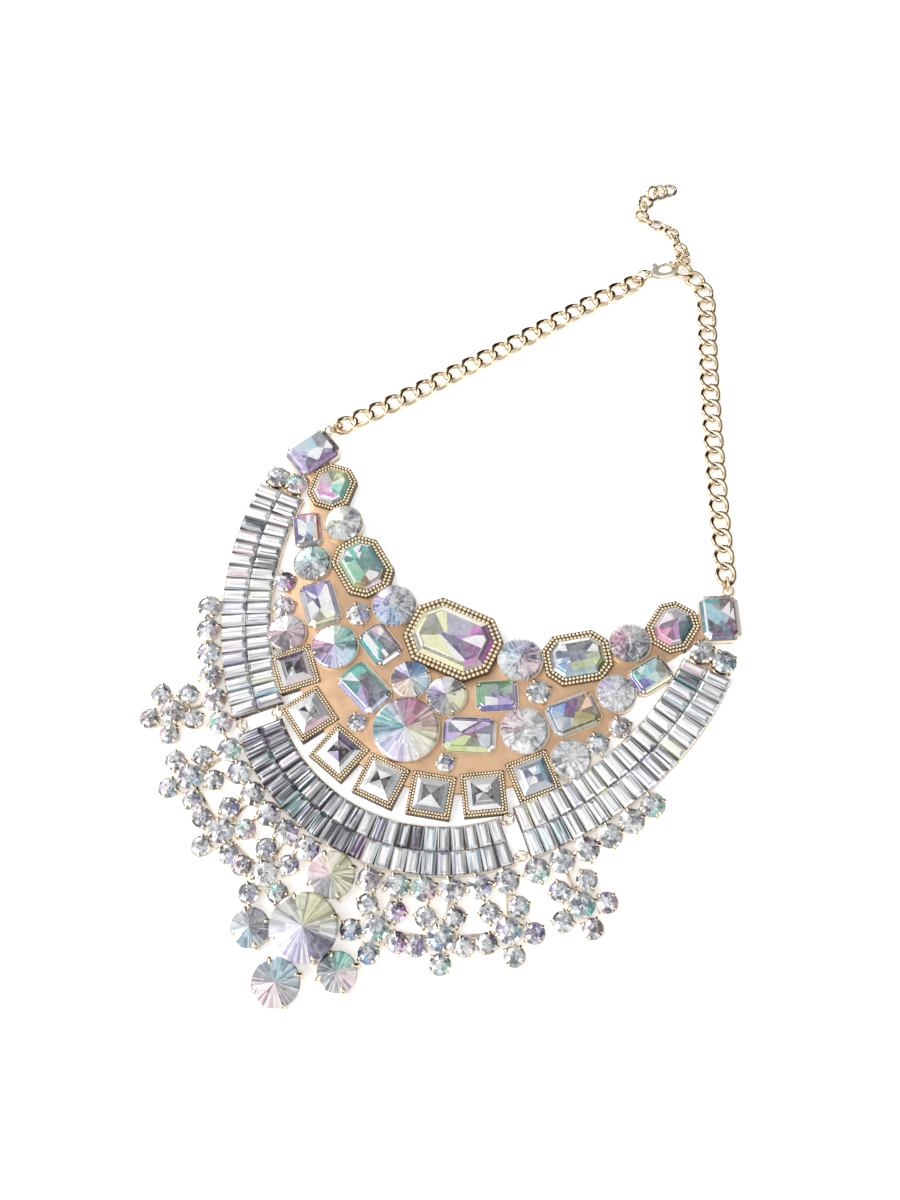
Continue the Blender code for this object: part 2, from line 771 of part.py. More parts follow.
def end_ring():
    """Middle of the ring between the left chain and the clasp."""
    return Vector((*CHAIN_LEFT_ROUTE[-1], CLASP_RING_OUTER / 2))


def clasp_spot(u, v):
    """A point of the clasp, from the middle of its eye, along its length and across it."""
    inside = (CLASP_RING_OUTER - RING_WIRE) / 2 - RING_WIRE - CLEAR
    eye_middle = end_ring() + facing(CLASP_TURN) * (inside + CLASP_EYE / 2)
    return eye_middle + facing(CLASP_TURN) * u + facing(CLASP_TURN + math.pi / 2) * v


def room(height):
    """Half the free width at the middle of a standing clasp ring, for something of this height."""
    inside = (CLASP_RING_OUTER - RING_WIRE) / 2 * math.cos(math.pi / RING_STEPS) - RING_WIRE / 2 - CLEAR
    return math.sqrt(inside ** 2 - height ** 2 / 4)


def held_ring():
    """Middle of the standing ring that the clasp holds, and its level direction."""
    front = CLASP_LENGTH - CLASP_MIDDLE - CLASP_WIRE / 2
    side = (CLASP_WIDTH - CLASP_WIRE) / 2
    slant = math.atan(math.tan(HOLD_TURN) * side / front)
    wire = clasp_spot(CLASP_MIDDLE + front * math.cos(slant), side * math.sin(slant))
    way = facing(CLASP_TURN + HOLD_TURN)
    return wire + way * (room(CLASP_THICKNESS) - CLASP_WIRE / 2), way


def chain_left(gold):
    """The left chain, from its ring on the bib to its ring on the clasp."""
    shape = bmesh.new()
    strand(shape, route_stops([chain_start(-1), *CHAIN_LEFT_ROUTE], STRAND_STEP), CHAIN_WIDTH, CHAIN_HEIGHT)
    middle, away = loop_ring(-1)
    standing_ring(shape, middle, away, RING_OUTER)
    ends = bmesh.new()
    standing_ring(ends, end_ring(), facing(CLASP_TURN), CLASP_RING_OUTER)
    fused("chain_left", gold, shape, ends)


def chain_right(gold):
    """The right chain, from its ring on the bib to the ring that the clasp holds."""
    shape = bmesh.new()
    held, way = held_ring()
    route = [chain_start(1), *CHAIN_RIGHT_ROUTE, (held.x, held.y)]
    strand(shape, route_stops(route, STRAND_STEP), CHAIN_WIDTH, CHAIN_HEIGHT)
    middle, away = loop_ring(1)
    standing_ring(shape, middle, away, RING_OUTER)
    ends = bmesh.new()
    standing_ring(ends, held, way, CLASP_RING_OUTER)
    fused("chain_right", gold, shape, ends)


def extender(gold):
    """The free length of chain behind the clasp, hooked on the ring that the clasp holds."""
    held, way = held_ring()
    start = held + way * (room(EXTENDER_WIRE) - EXTENDER_WIRE / 2)
    clear = start + way * EXTENDER_RING
    stops = route_stops([(start.x, start.y), (clear.x, clear.y), *EXTENDER_ROUTE], EXTENDER_RING)
    first = stops[0] + UP * held.z
    second = stops[1] + UP * EXTENDER_HEIGHT / 2
    along = (second - first).normalized()
    across = along.cross(UP).normalized()
    shape = bmesh.new()
    points = ring_points((first + second) / 2, along, across, (second - first).length / 2)
    tube(shape, points, EXTENDER_WIRE, along.cross(across))
    free = bmesh.new()
    strand(free, stops[1:], EXTENDER_RING, EXTENDER_HEIGHT)
    fused("extender", gold, shape, free)


def egg(shrink):
    """Outline of the clasp, or of its opening: a round front, and a back that tapers to the eye."""
    found = []
    for k in range(CLASP_STEPS):
        turn = math.tau * k / CLASP_STEPS
        front = CLASP_LENGTH - CLASP_MIDDLE - shrink
        back = CLASP_MIDDLE - CLASP_EYE / 4 - 2 * shrink
        reach = front if math.cos(turn) > 0 else back
        found.append((CLASP_MIDDLE + reach * math.cos(turn), (CLASP_WIDTH / 2 - shrink) * math.sin(turn)))
    return found


def slab(shape, outline, thickness):
    """A flat piece of the clasp, over an outline given along and across it."""
    middle = clasp_spot(0, 0).z
    prism(shape, [clasp_spot(u, v) for u, v in outline], middle - thickness / 2, middle + thickness / 2)


def disc(u, v, radius):
    """Round outline on the clasp."""
    return [(u + p.x, v + p.y) for p in circle(radius, 2 * RING_STEPS)]


def clasp_body(gold):
    """The clasp's hook with its eye, its gate, the lever's slot and the pin."""
    shape = bmesh.new()
    slab(shape, egg(0), CLASP_THICKNESS)
    body = finished(shape, "clasp_body", gold)
    cutters = bmesh.new()
    slab(cutters, egg(CLASP_WIRE), 2 * CLASP_THICKNESS)
    gate = [(PIVOT_U + PIVOT_PIN, 0), (GATE_END, 0), (GATE_END, CLASP_WIDTH), (PIVOT_U + PIVOT_PIN, CLASP_WIDTH)]
    slab(cutters, gate, 3 * CLASP_THICKNESS)
    slab(cutters, disc(PIVOT_U, PIVOT_V, SLOT_RADIUS), LEVER_THICKNESS + 2 * CLEAR)
    cut_away(body, cutters)
    joined = bmesh.new()
    length_way = facing(CLASP_TURN)
    tube(joined, ring_points(clasp_spot(0, 0), length_way, length_way.cross(UP), CLASP_EYE / 2), RING_WIRE)
    slab(joined, disc(PIVOT_U, PIVOT_V, PIVOT_PIN / 2), CLASP_THICKNESS - EMBED)
    combine(body, finished(joined, "clasp_joined", gold, drop=True), "UNION")


def clasp_lever(gold):
    """The sprung lever, with its thumb tab and its bore."""
    shape = bmesh.new()
    slab(shape, disc(PIVOT_U, PIVOT_V, LEVER_WIDTH), LEVER_THICKNESS)
    parts = bmesh.new()
    outer = [(u, v) for u, v in egg(CLEAR) if v > 0 and PIVOT_U < u < GATE_END - CLEAR]
    tip = (GATE_END - CLEAR, CLASP_WIDTH * TIP_SHARE)
    rim = [tip, *outer, (PIVOT_U, PIVOT_V + LEVER_WIDTH / 2)]
    inner = [(u, v - LEVER_WIDTH) for u, v in rim]
    slab(parts, rim + inner[::-1], LEVER_THICKNESS)
    thumb = [
        (PIVOT_U - 0.6 * LEVER_WIDTH, PIVOT_V),
        (PIVOT_U + LEVER_WIDTH, PIVOT_V),
        (PIVOT_U + LEVER_WIDTH, THUMB_V - LEVER_WIDTH / 2),
        (PIVOT_U + LEVER_WIDTH / 2, THUMB_V),
        (PIVOT_U - 0.6 * LEVER_WIDTH, THUMB_V - LEVER_WIDTH / 2),
    ]
    slab(parts, thumb, LEVER_THICKNESS * 0.9)
    lever = fused("clasp_lever", gold, shape, parts)
    bore = bmesh.new()
    slab(bore, disc(PIVOT_U, PIVOT_V, PIVOT_PIN / 2 + CLEAR), 2 * CLASP_THICKNESS)
    cut_away(lever, bore)


def centre_origin():
    """Move the meshes so that the middle of the necklace's footprint is at the origin."""
    corners = [vertex.co for obj in bpy.data.objects for vertex in obj.data.vertices]
    low = Vector([min(corner[axis] for corner in corners) for axis in range(3)])
    high = Vector([max(corner[axis] for corner in corners) for axis in range(3)])
    shift = -(low + high) / 2
    shift.z = -low.z
    for obj in bpy.data.objects:
        obj.data.transform(Matrix.Translation(shift))


def build():
    """Make every piece of the necklace."""
    clear_scene()
    gold = material("gold", (0.83, 0.66, 0.42), 0.28, 1.0)
    crystal = material("crystal", (0.80, 0.82, 0.86), 0.06, 0.0)
    bib_frame(gold)
    for name, cut, place, length, width, turn, edge in seats():
        gem(name, crystal, cut, place, length, width, turn, SEAT_FLOOR)
    arm_eyes = {side: arm_band(side, ending, gold) for side, ending in ((1, "_right"), (-1, "_left"))}
    centre_eyes = centre_band(gold)
    for side, ending in ((1, "_right"), (-1, "_left")):
        for k, place in enumerate(("inner", "outer")):
            jump_ring(f"jump_ring_{place}{ending}", gold, arm_eyes[side][k], centre_eyes[side][k])
        arm_row(side, ending, gold)
        base_field(side, ending, gold)
    pendants(gold, crystal)
    chain_left(gold)
    chain_right(gold)
    extender(gold)
    clasp_body(gold)
    clasp_lever(gold)
    centre_origin()


build()
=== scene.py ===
# %% [markdown]
# # A bib necklace of crystal stones
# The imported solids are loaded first. They say where every piece lies, and everything modelled
# below is placed from them, in metres, with +Z up and +Y from the pendants to the clasp.

import math
import random
from types import SimpleNamespace

import bmesh
import bpy
from mathutils import Matrix, Vector


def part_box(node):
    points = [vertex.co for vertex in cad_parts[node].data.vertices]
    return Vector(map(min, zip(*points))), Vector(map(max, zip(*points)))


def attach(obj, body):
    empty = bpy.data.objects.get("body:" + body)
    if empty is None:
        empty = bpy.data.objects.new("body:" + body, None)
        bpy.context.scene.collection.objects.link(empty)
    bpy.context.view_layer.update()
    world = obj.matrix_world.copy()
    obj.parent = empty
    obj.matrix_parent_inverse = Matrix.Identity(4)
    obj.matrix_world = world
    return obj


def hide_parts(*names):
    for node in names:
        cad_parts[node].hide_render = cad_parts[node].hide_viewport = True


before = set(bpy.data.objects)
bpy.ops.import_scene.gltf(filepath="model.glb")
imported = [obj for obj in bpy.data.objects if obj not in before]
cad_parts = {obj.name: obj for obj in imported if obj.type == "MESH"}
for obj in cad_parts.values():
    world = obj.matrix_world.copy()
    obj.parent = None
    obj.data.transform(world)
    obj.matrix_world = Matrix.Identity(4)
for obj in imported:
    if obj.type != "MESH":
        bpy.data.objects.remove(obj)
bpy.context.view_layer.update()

# %% [markdown]
# The settings, bands and flowers lie symmetrically about the line X = 0. Their places are written
# as shares of the bib's half width, as a jeweller scales a layout drawing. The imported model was
# moved so that its middle is at the origin, and the centre stone tells by how much.

# %% Shared measures
MM = 0.001
HALF = 94 * MM
UP = Vector((0, 0, 1))
stone_low, stone_high = (Vector(corner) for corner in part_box("centre_octagon"))
DRAWN_Y = (stone_low.y + stone_high.y) / 2 + 0.137 * HALF
SIDES = {"_right": 1, "_left": -1}


def at(x, y, z=0.0):
    """A point from shares of the bib's half width and a height in metres."""
    return Vector((x * HALF, y * HALF + DRAWN_Y, z))


def laid(x, y, z=0.0):
    """A point from millimetres on the layout drawing."""
    return Vector((x * MM, y * MM + DRAWN_Y, z))


print("the drawing's middle is at y =", round(DRAWN_Y, 5))

# %% [markdown]
# Every piece starts as a primitive and is shaped in edit mode. These helpers do what the hand does
# at the keyboard: clear the selection, add a primitive, pick faces by where they are or which way
# they look, and go back to object mode.

# %% Helpers for modelling
def add(operator, name, **settings):
    """Add one primitive with nothing else selected, and give it its name."""
    if bpy.context.object and bpy.context.object.mode != "OBJECT":
        bpy.ops.object.mode_set(mode="OBJECT")
    bpy.ops.object.select_all(action="DESELECT")
    operator(**settings)
    piece = bpy.context.object
    piece.name = name
    piece.data.name = name
    return piece


def pick(piece, test, kind="FACE"):
    """Select the faces or edges that pass a test, in edit mode."""
    bpy.ops.object.mode_set(mode="EDIT")
    bpy.ops.mesh.select_mode(type=kind)
    bpy.ops.mesh.select_all(action="DESELECT")
    shape = bmesh.from_edit_mesh(piece.data)
    for part in shape.faces if kind == "FACE" else shape.edges:
        part.select_set(bool(test(part)))
    bmesh.update_edit_mesh(piece.data)


def done(piece, smooth=None):
    """Leave edit mode, put the place into the mesh, and shade it smooth below an angle."""
    if piece.mode != "OBJECT":
        bpy.ops.object.mode_set(mode="OBJECT")
    bpy.ops.object.select_all(action="DESELECT")
    piece.select_set(True)
    bpy.context.view_layer.objects.active = piece
    bpy.ops.object.transform_apply(location=True, rotation=True, scale=True)
    if smooth is not None:
        bpy.ops.object.shade_smooth_by_angle(angle=math.radians(smooth))
    return piece


def looks_up(face):
    return face.normal.z > 0.99


def posed(place, turn=0.0):
    """The matrix that turns about Z and then moves."""
    return Matrix.Translation(place) @ Matrix.Rotation(turn, 4, "Z")


def heading(turn):
    """The level direction at an angle from +X."""
    return Vector((math.cos(turn), math.sin(turn), 0))


# %% [markdown]
# What repeats is modelled once. Each copy gets a mesh of its own, moved to its place, and the
# copies of one group are then joined, as castings are soldered into one.

# %% Helpers for copying and joining
masters = []


def copied(master, place, turn=0.0, size=(1, 1, 1)):
    """A copy with its own mesh, scaled, turned about Z and moved."""
    piece = master.copy()
    piece.data = master.data.copy()
    bpy.context.collection.objects.link(piece)
    piece.data.transform(posed(place, turn) @ Matrix.Diagonal((*size, 1)))
    return piece


def joined(name, pieces, finish, slot, *nodes):
    """Join pieces, give them their finish, hang them on the necklace, and hide the imported solids that they
    replace.
    """
    bpy.ops.object.select_all(action="DESELECT")
    for piece in pieces:
        piece.select_set(True)
    whole = pieces[0]
    bpy.context.view_layer.objects.active = whole
    if len(pieces) > 1:
        bpy.ops.object.join()
    whole.name = name
    whole.data.name = name
    whole.data.materials.clear()
    whole.data.materials.append(finish)
    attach(whole, "necklace")
    if nodes:
        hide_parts(*nodes)
    print(name, len(whole.data.polygons), "faces")
    return whole


# %% [markdown]
# Shader maths reads best as plain expressions. This small class wraps a node's output, so that
# `0.2 + 0.1 * noise` adds the Math nodes by itself. Every other node comes from `node`.

# %% A socket that understands maths
class Socket:
    """The output of a shader node, with the usual operators."""

    def __init__(self, tree, output=None):
        self.tree = tree
        self.output = output

    def node(self, kind, inputs=None, output=0, **settings):
        """Add a node: its settings first, then the values or links of its sockets."""
        made = self.tree.nodes.new("ShaderNode" + kind)
        for key, value in settings.items():
            setattr(made, key, value)
        for key, value in (inputs or {}).items():
            if isinstance(value, Socket):
                self.tree.links.new(value.output, made.inputs[key])
            else:
                made.inputs[key].default_value = value
        return Socket(self.tree, made.outputs[output])

    def maths(self, operation, first, second):
        return self.node("Math", {0: first, 1: second}, operation=operation)

    def __add__(self, other):
        return self.maths("ADD", self, other)

    __radd__ = __add__

    def __sub__(self, other):
        return self.maths("SUBTRACT", self, other)

    def __rsub__(self, other):
        return self.maths("SUBTRACT", other, self)

    def __mul__(self, other):
        return self.maths("MULTIPLY", self, other)

    __rmul__ = __mul__

    def between(self, low, high):
        """0 below low, 1 above high, and smooth between them."""
        span = {"Value": self, "From Min": low, "From Max": high}
        return self.node("MapRange", span, interpolation_type="SMOOTHSTEP")

    def mix(self, first, second):
        """The first colour where this is 0 and the second where it is 1."""
        return self.node("Mix", {0: self, 6: first, 7: second}, output=2, data_type="RGBA")


def rgb(red, green, blue):
    """A colour as the eye sees it, turned into the linear values that a shader wants."""
    return (red ** 2.2, green ** 2.2, blue ** 2.2, 1.0)


def new_material(name):
    """A material, its tree and its shader node."""
    made = bpy.data.materials.new(name)
    made.use_nodes = True
    return made, Socket(made.node_tree), made.node_tree.nodes["Principled BSDF"]


def connect(made, shader, **links):
    """Link sockets to the shader by name, with _ for a space."""
    for key, value in links.items():
        made.node_tree.links.new(value.output, shader.inputs[key.replace("_", " ")])

# %% [markdown]
# The metal is a zinc casting with a light champagne-gold plating. Low down between the settings it is
# rougher, and its colour goes over to a darker, browner tone there, which is painted shade. It is very
# slightly uneven all over. Height above the table drives the painted shade and the roughness, and two
# sizes of noise the unevenness.

# %% Gold finishes
def plated(name, bright, painted_shade, low, high, gloss, grain, metal=1.0):
    """A gold plating that goes from painted shade, a darker tone, at height `low` to its bright tone at
    `high`.
    """
    made, start, shader = new_material(name)
    place = start.node("TexCoord", output="Object")
    height = start.node("SeparateXYZ", {"Vector": place}, output="Z")
    cloud = start.node("TexNoise", {"Vector": place, "Scale": 220, "Detail": 4})
    fine = start.node("TexNoise", {"Vector": place, "Scale": grain, "Detail": 2})
    # Painted shade: below height `high` the colour goes over to the darker tone, most at `low`; the same
    # share makes the metal rougher low down.
    high_up = (height + 0.0016 * (cloud - 0.5)).between(low, high)
    colour = high_up.mix(rgb(*painted_shade), rgb(*bright))
    polished = rgb(*[min(1, value * 1.05) for value in bright])
    relief = {"Height": fine + 0.5 * cloud, "Strength": 0.12, "Distance": 0.0002}
    shader.inputs["Metallic"].default_value = metal
    connect(
        made, shader, Base_Color=cloud.between(0.35, 0.75).mix(colour, polished),
        Roughness=gloss + 0.16 * cloud - 0.12 * high_up, Normal=start.node("Bump", relief),
    )
    return made


# The second colour of each finish is its painted shade, laid on its lower parts.
GOLD = plated("champagne_gold", (0.90, 0.84, 0.75), (0.50, 0.42, 0.32), 0.0, 0.0024, 0.20, 2200)
BEAD_GOLD = plated("bead_gold", (0.93, 0.86, 0.74), (0.52, 0.43, 0.32), 0.0016, 0.0036, 0.30, 2600, 0.5)
ROSE_PLATE = plated("rose_plate", (0.80, 0.66, 0.53), (0.66, 0.50, 0.38), 0.0005, 0.0030, 0.38, 1500, 0.5)
# A darker metal for the bead frames and the band floors: painted shade in the gaps around beads and
# baguettes.
PAINTED_SHADE_METAL = plated("painted_shade_gold", (0.46, 0.38, 0.29), (0.24, 0.20, 0.16), 0.0010, 0.0060, 0.45, 1800)
CHAIN_GOLD = plated("chain_gold", (0.86, 0.78, 0.66), (0.36, 0.29, 0.21), 0.0004, 0.0028, 0.06, 1900)
CLASP_METAL = plated("clasp_metal", (0.86, 0.83, 0.77), (0.44, 0.40, 0.35), 0.0026, 0.0050, 0.22, 1900, 0.7)
print("gold finishes:", [m.name for m in (GOLD, BEAD_GOLD, ROSE_PLATE, PAINTED_SHADE_METAL, CHAIN_GOLD, CLASP_METAL)])

# %% [markdown]
# The stones are clear resin over an iridescent foil. Seen from above, each facet shows a flat patch
# of colour, and inside it lie the smaller shards of the facets below. Real refraction would need
# many samples, so the patches are a tint stored on each face, and a cell pattern breaks them up into
# painted dark reflections and painted highlights. Weak large cells suit the big stones, and strong
# small ones the chatons and the rounds, which sparkle the most.

# %% Crystal finish
def foiled(made, shader, colour):
    """The gloss of clear resin over foil, under a colour."""
    gloss = {"IOR": 1.6, "Metallic": 0.3, "Coat Weight": 0.8, "Coat Roughness": 0.02, "Roughness": 0.14}
    for key, value in gloss.items():
        shader.inputs[key].default_value = value
    connect(made, shader, Base_Color=colour)
    return made


def crystal(name, cells, flatness, strength):
    """A glossy finish that reads the tint of each face and breaks it into shards of painted dark reflection
    and painted highlight.
    """
    made, start, shader = new_material(name)
    place = start.node("TexCoord", output="Object")
    colour = start.node("Attribute", output="Color", attribute_name="tint")
    stretched = start.node("Mapping", {"Vector": place, "Scale": (1, 1, flatness)})
    for scale, depth in ((cells, strength), (cells * 3.1, strength * 0.8)):
        shard = start.node("TexVoronoi", {"Vector": stretched, "Scale": scale}, output="Color")
        dark = start.node("SeparateColor", {"Color": shard}, output="Red")
        light = start.node("SeparateColor", {"Color": shard}, output="Green")
        # Painted dark reflections and painted highlights: cells pull the tint towards dark grey or near
        # white.
        shaded = (dark.between(0.55, 0.95) * depth).mix(colour, rgb(0.16, 0.16, 0.19))
        colour = (light.between(0.60, 0.95) * depth).mix(shaded, rgb(0.97, 0.97, 0.97))
    return foiled(made, shader, colour)


STONE = crystal("foil_crystal", 330, 0.2, 0.13)
PAINTED_SPARKLE = crystal("painted_sparkle_crystal", 480, 0.2, 0.42)
SMALL_STONE = crystal("chaton_crystal", 800, 0.3, 0.40)
print("crystals:", STONE.name, PAINTED_SPARKLE.name, SMALL_STONE.name)

# %% [markdown]
# A baguette shows thin dark and light lines along its length, painted reflections of its long steps.
# They are a noise that is drawn out along the bar, in the bar's own coordinates, so that the lines
# follow each one as it turns with its band. Dark baguettes get stronger dark lines than pale ones.

# %% Baguette finish
def streaked(name):
    """The baguettes' finish: their tint under thin painted lines of dark reflection and highlight along their
    length.
    """
    made, start, shader = new_material(name)
    tint = start.node("Attribute", output="Color", attribute_name="tint")
    place = start.node("Attribute", output="Vector", attribute_name="bar")
    stretched = start.node("Mapping", {"Vector": place, "Scale": (70, 1350, 40)})
    line = start.node("TexNoise", {"Vector": stretched, "Scale": 1, "Detail": 3})
    paleness = start.node("SeparateColor", {"Color": tint}, output="Red")
    # Painted dark reflections and painted highlights: thin dark and near-white lines.
    shaded = (line.between(0.52, 0.60) * (0.66 - 0.42 * paleness)).mix(tint, rgb(0.24, 0.22, 0.25))
    flashed = ((1 - line).between(0.53, 0.60) * 0.75).mix(shaded, rgb(0.98, 0.98, 0.98))
    return foiled(made, shader, flashed)


BAGUETTE = streaked("baguette_crystal")
print("baguettes:", BAGUETTE.name)

# %% [markdown]
# The foil throws pinks, greens and violets, and the same few come back all over the necklace. Each
# has a word here, with its colour as the eye sees it. All but white are moved a little towards the
# resin's own tone, and all are dimmed a little, because the gloss adds light on top.

# %% Swatches
# White, smoke, grey and night also serve as painted highlights and painted dark reflections.
NOTED = {
    "clear": (0.84, 0.86, 0.87), "white": (1.00, 1.00, 1.00), "grey": (0.62, 0.63, 0.66),
    "smoke": (0.25, 0.25, 0.29), "pink": (0.96, 0.60, 0.76), "blush": (0.96, 0.80, 0.84),
    "magenta": (0.90, 0.52, 0.86), "plum": (0.42, 0.26, 0.48), "lavender": (0.77, 0.70, 0.92),
    "indigo": (0.42, 0.38, 0.70), "blue": (0.42, 0.64, 0.90), "ice": (0.72, 0.89, 0.96),
    "teal": (0.27, 0.66, 0.66), "mint": (0.52, 0.90, 0.80), "green": (0.50, 0.74, 0.50),
    "lime": (0.84, 0.90, 0.60), "straw": (0.98, 0.98, 0.76), "olive": (0.66, 0.64, 0.34),
    "peach": (0.98, 0.80, 0.66), "maroon": (0.46, 0.18, 0.28), "brown": (0.60, 0.46, 0.40),
    "slate": (0.38, 0.42, 0.52), "night": (0.02, 0.02, 0.04),
}
RESIN_TONE = 0.84
CLEARNESS = 0.12
DIMMED = 0.93
SWATCHES = {}
for word, tone in NOTED.items():
    share = 0 if word == "white" else CLEARNESS
    SWATCHES[word] = rgb(*(DIMMED * (value + (RESIN_TONE - value) * share) for value in tone))[:3]
print("swatches:", len(SWATCHES))

# %% [markdown]
# Each stone's colours were noted from the photograph, one word for each side: right, top, left and
# bottom as the necklace lies with its clasp up, and the heart. A face takes the word of its side,
# now and then its neighbour's, a painted flash of white or a painted dark reflection, always the
# same each run.

# %% Colour the facets
WEDGES = 64
SECTORS = 8
# Painted highlights (white) and painted dark reflections (smoke, grey): chance, word and strength.
PAINTED_FLASHES = ((0.17, "white", 0.9), (0.36, "smoke", 0.68), (0.46, "grey", 0.6))


def blended(first, second, share):
    return tuple(a + (b - a) * share for a, b in zip(first, second))


def tint_facets(piece, middle, words, reach, seed, heart_size=0.3, bow=1.0):
    """Give each face a tint, from its side and how far out it is, with now and then a painted highlight or
    a painted dark reflection. A low `bow` keeps the heart's word out of the upper and lower facets, so that
    it shows as a bow tie without them; in the squares that heart is dark, a painted dark reflection."""
    chance = random.Random(seed)
    *around, heart = (SWATCHES[word] for word in words.split())
    layer = piece.data.attributes.new("tint", "FLOAT_COLOR", "FACE")
    for face in piece.data.polygons:
        away = face.center - middle
        turn = math.atan2(away.y, away.x) / (math.pi / 2) % 4
        side = int(turn + 0.5)
        after = side + (1 if turn % 1 < 0.5 else -1)
        colour = blended(around[side % 4], around[after % 4], chance.choice((0, 0, 0.15, 0.5)))
        out = math.hypot(away.x, away.y) / reach
        share = min(1, max(0, out * 2.4 - heart_size + chance.uniform(-0.3, 0.3)))
        if side % 2:
            share = 1 - (1 - share) * bow
        colour = blended(heart, colour, share)
        roll = chance.random() + (1 - bow) * (share < 0.5)
        # A painted highlight or painted dark reflection over the face's tint.
        for limit, word, strength in PAINTED_FLASHES:
            if roll < limit:
                colour = blended(colour, SWATCHES[word], strength)
                break
        layer.data[face.index].color = (*colour, 1)


def tint_fan(piece, middle, words, reach, seed, contrast):
    """Tints of a round stone: broad sectors that melt into each other, under fine rays. Sectors and rays
    are pulled towards white or smoke: painted highlights and painted dark reflections.
    """
    chance = random.Random(seed)
    around = [SWATCHES[word] for word in words.split()]
    broad = [chance.choice((0, 0, 0.8, -0.3, -0.7)) for k in range(SECTORS)]
    fine = [chance.choice((0, 0.2, 0.9, -0.4, -0.8, -1.2)) for k in range(WEDGES)]
    layer = piece.data.attributes.new("tint", "FLOAT_COLOR", "FACE")
    for face in piece.data.polygons:
        away = face.center - middle
        share = math.atan2(away.y, away.x) / (2 * math.pi) % 1
        inner = math.hypot(away.x, away.y) < 0.45 * reach
        quarter = share * 4
        colour = blended(around[int(quarter) % 4], around[int(quarter + 1) % 4], quarter % 1)
        ray = fine[(int(share * WEDGES) + 5 * inner) % WEDGES]
        # Painted light and shade: above 0 the face goes towards white, below 0 towards smoke.
        lift = 0.55 * broad[int(share * SECTORS)] + contrast * ray
        colour = blended(colour, SWATCHES["white" if lift > 0 else "smoke"], min(0.9, abs(lift)))
        layer.data[face.index].color = (*colour, 1)


print("flashes:", PAINTED_FLASHES)

# %% [markdown]
# Four cuts make all the main stones. An octagon starts as a box whose upright edges are bevelled,
# and a round one as a cylinder. The top face is then inset again and again, each time a little
# higher, as a cutter adds a row of facets. A round stone ends in a poke, a fan of thin wedges. The
# table of an octagon is cut across by straight lines, which part it into the long shards of the
# facets that are seen through it. The back is one inset downwards.

# %% Cut a stone
def upright(edge):
    """True for an edge that runs along Z."""
    run = edge.verts[1].co - edge.verts[0].co
    return abs(run.z) > 0.9 * run.length


def girdle(outline, length, width, corner, low, depth):
    """The blank of a stone: its outline, from the girdle's lower edge upwards."""
    place = (0, 0, low + depth / 2)
    if outline == "round":
        return add(
            bpy.ops.mesh.primitive_cylinder_add, "blank", vertices=WEDGES, radius=length / 2,
            depth=depth, location=place,
        )
    piece = add(bpy.ops.mesh.primitive_cube_add, "blank", size=1, location=place)
    piece.dimensions = (length, width, depth)
    done(piece)
    if corner:
        pick(piece, upright, "EDGE")
        bpy.ops.mesh.bevel(offset=corner, segments=1, affect="EDGES")
    return piece


def on_table(face, level, half):
    """True for a face of the table, in the half that is asked for: 1 above the keel, -1 below it."""
    middle = face.calc_center_median()
    return looks_up(face) and middle.z > level and middle.y * half >= 0


def shard_lines(length, width, inset, strays, seed):
    """(half, point, direction) of the cuts: a keel, a line from its ends to each corner, and strays."""
    chance = random.Random(seed)
    keel = (length - width) * 0.42
    corner = Vector((length / 2 - inset * width - keel, width / 2 - inset * width))
    lines = [(0, Vector((0, 0)), Vector((1, 0)))]
    for x in (1, -1):
        for y in (1, -1):
            lines.append((y, Vector((x * keel, 0)), Vector((x * corner.x, y * corner.y))))
    for k in range(strays):
        turn = chance.uniform(0, math.pi)
        spot = Vector((chance.uniform(-0.3, 0.3) * length, chance.uniform(-0.25, 0.25) * width))
        lines.append((chance.choice((0, 1, -1)), spot, heading(turn)))
    return lines


CUTS = {
    "octagon": ([(0.070, 0.50), (0.050, 0.40), (0.02, 0.10)], 0, 6),
    "square": ([(0.13, 0.55), (0.10, 0.40), (0.02, 0.05)], 0, 4),
    "round": ([(0.05, 0.45), (0.20, 0.30)], 0.25, 0),
    "rivoli": ([(0.035, 0.15), (0.22, 0.40)], 0.45, 0),
}


def cut_stone(cut, length, width, corner, low, depth, crown, seed):
    """A finished stone, with its crown and table on top of a girdle."""
    rows, peak, strays = CUTS[cut]
    piece = girdle("round" if peak else "octagon", length, width, corner, low, depth)
    pick(piece, lambda face: face.normal.z < -0.99)
    bpy.ops.mesh.inset(thickness=0.40 * width, depth=0.14 * width)
    pick(piece, looks_up)
    for share, rise in rows:
        bpy.ops.mesh.inset(thickness=share * width, depth=rise * crown)
    if peak:
        bpy.ops.mesh.poke(offset=peak * crown)
        return done(piece)
    for half, spot, run in shard_lines(length, width, sum(share for share, rise in rows), strays, seed):
        pick(piece, lambda face: on_table(face, low + depth, half))
        bpy.ops.mesh.bisect(plane_co=(*spot, 0), plane_no=(-run.y, run.x, 0), threshold=1e-6)
    return done(piece)


print("cuts:", list(CUTS))

# %% [markdown]
# The table lists each main stone with its cut, its sizes in millimetres, its turn, the width of its
# beaded frame and its colour words. The seven squares differ only in their words and turns, and the
# pendants are all pointed round stones, so two short lists are enough for them.

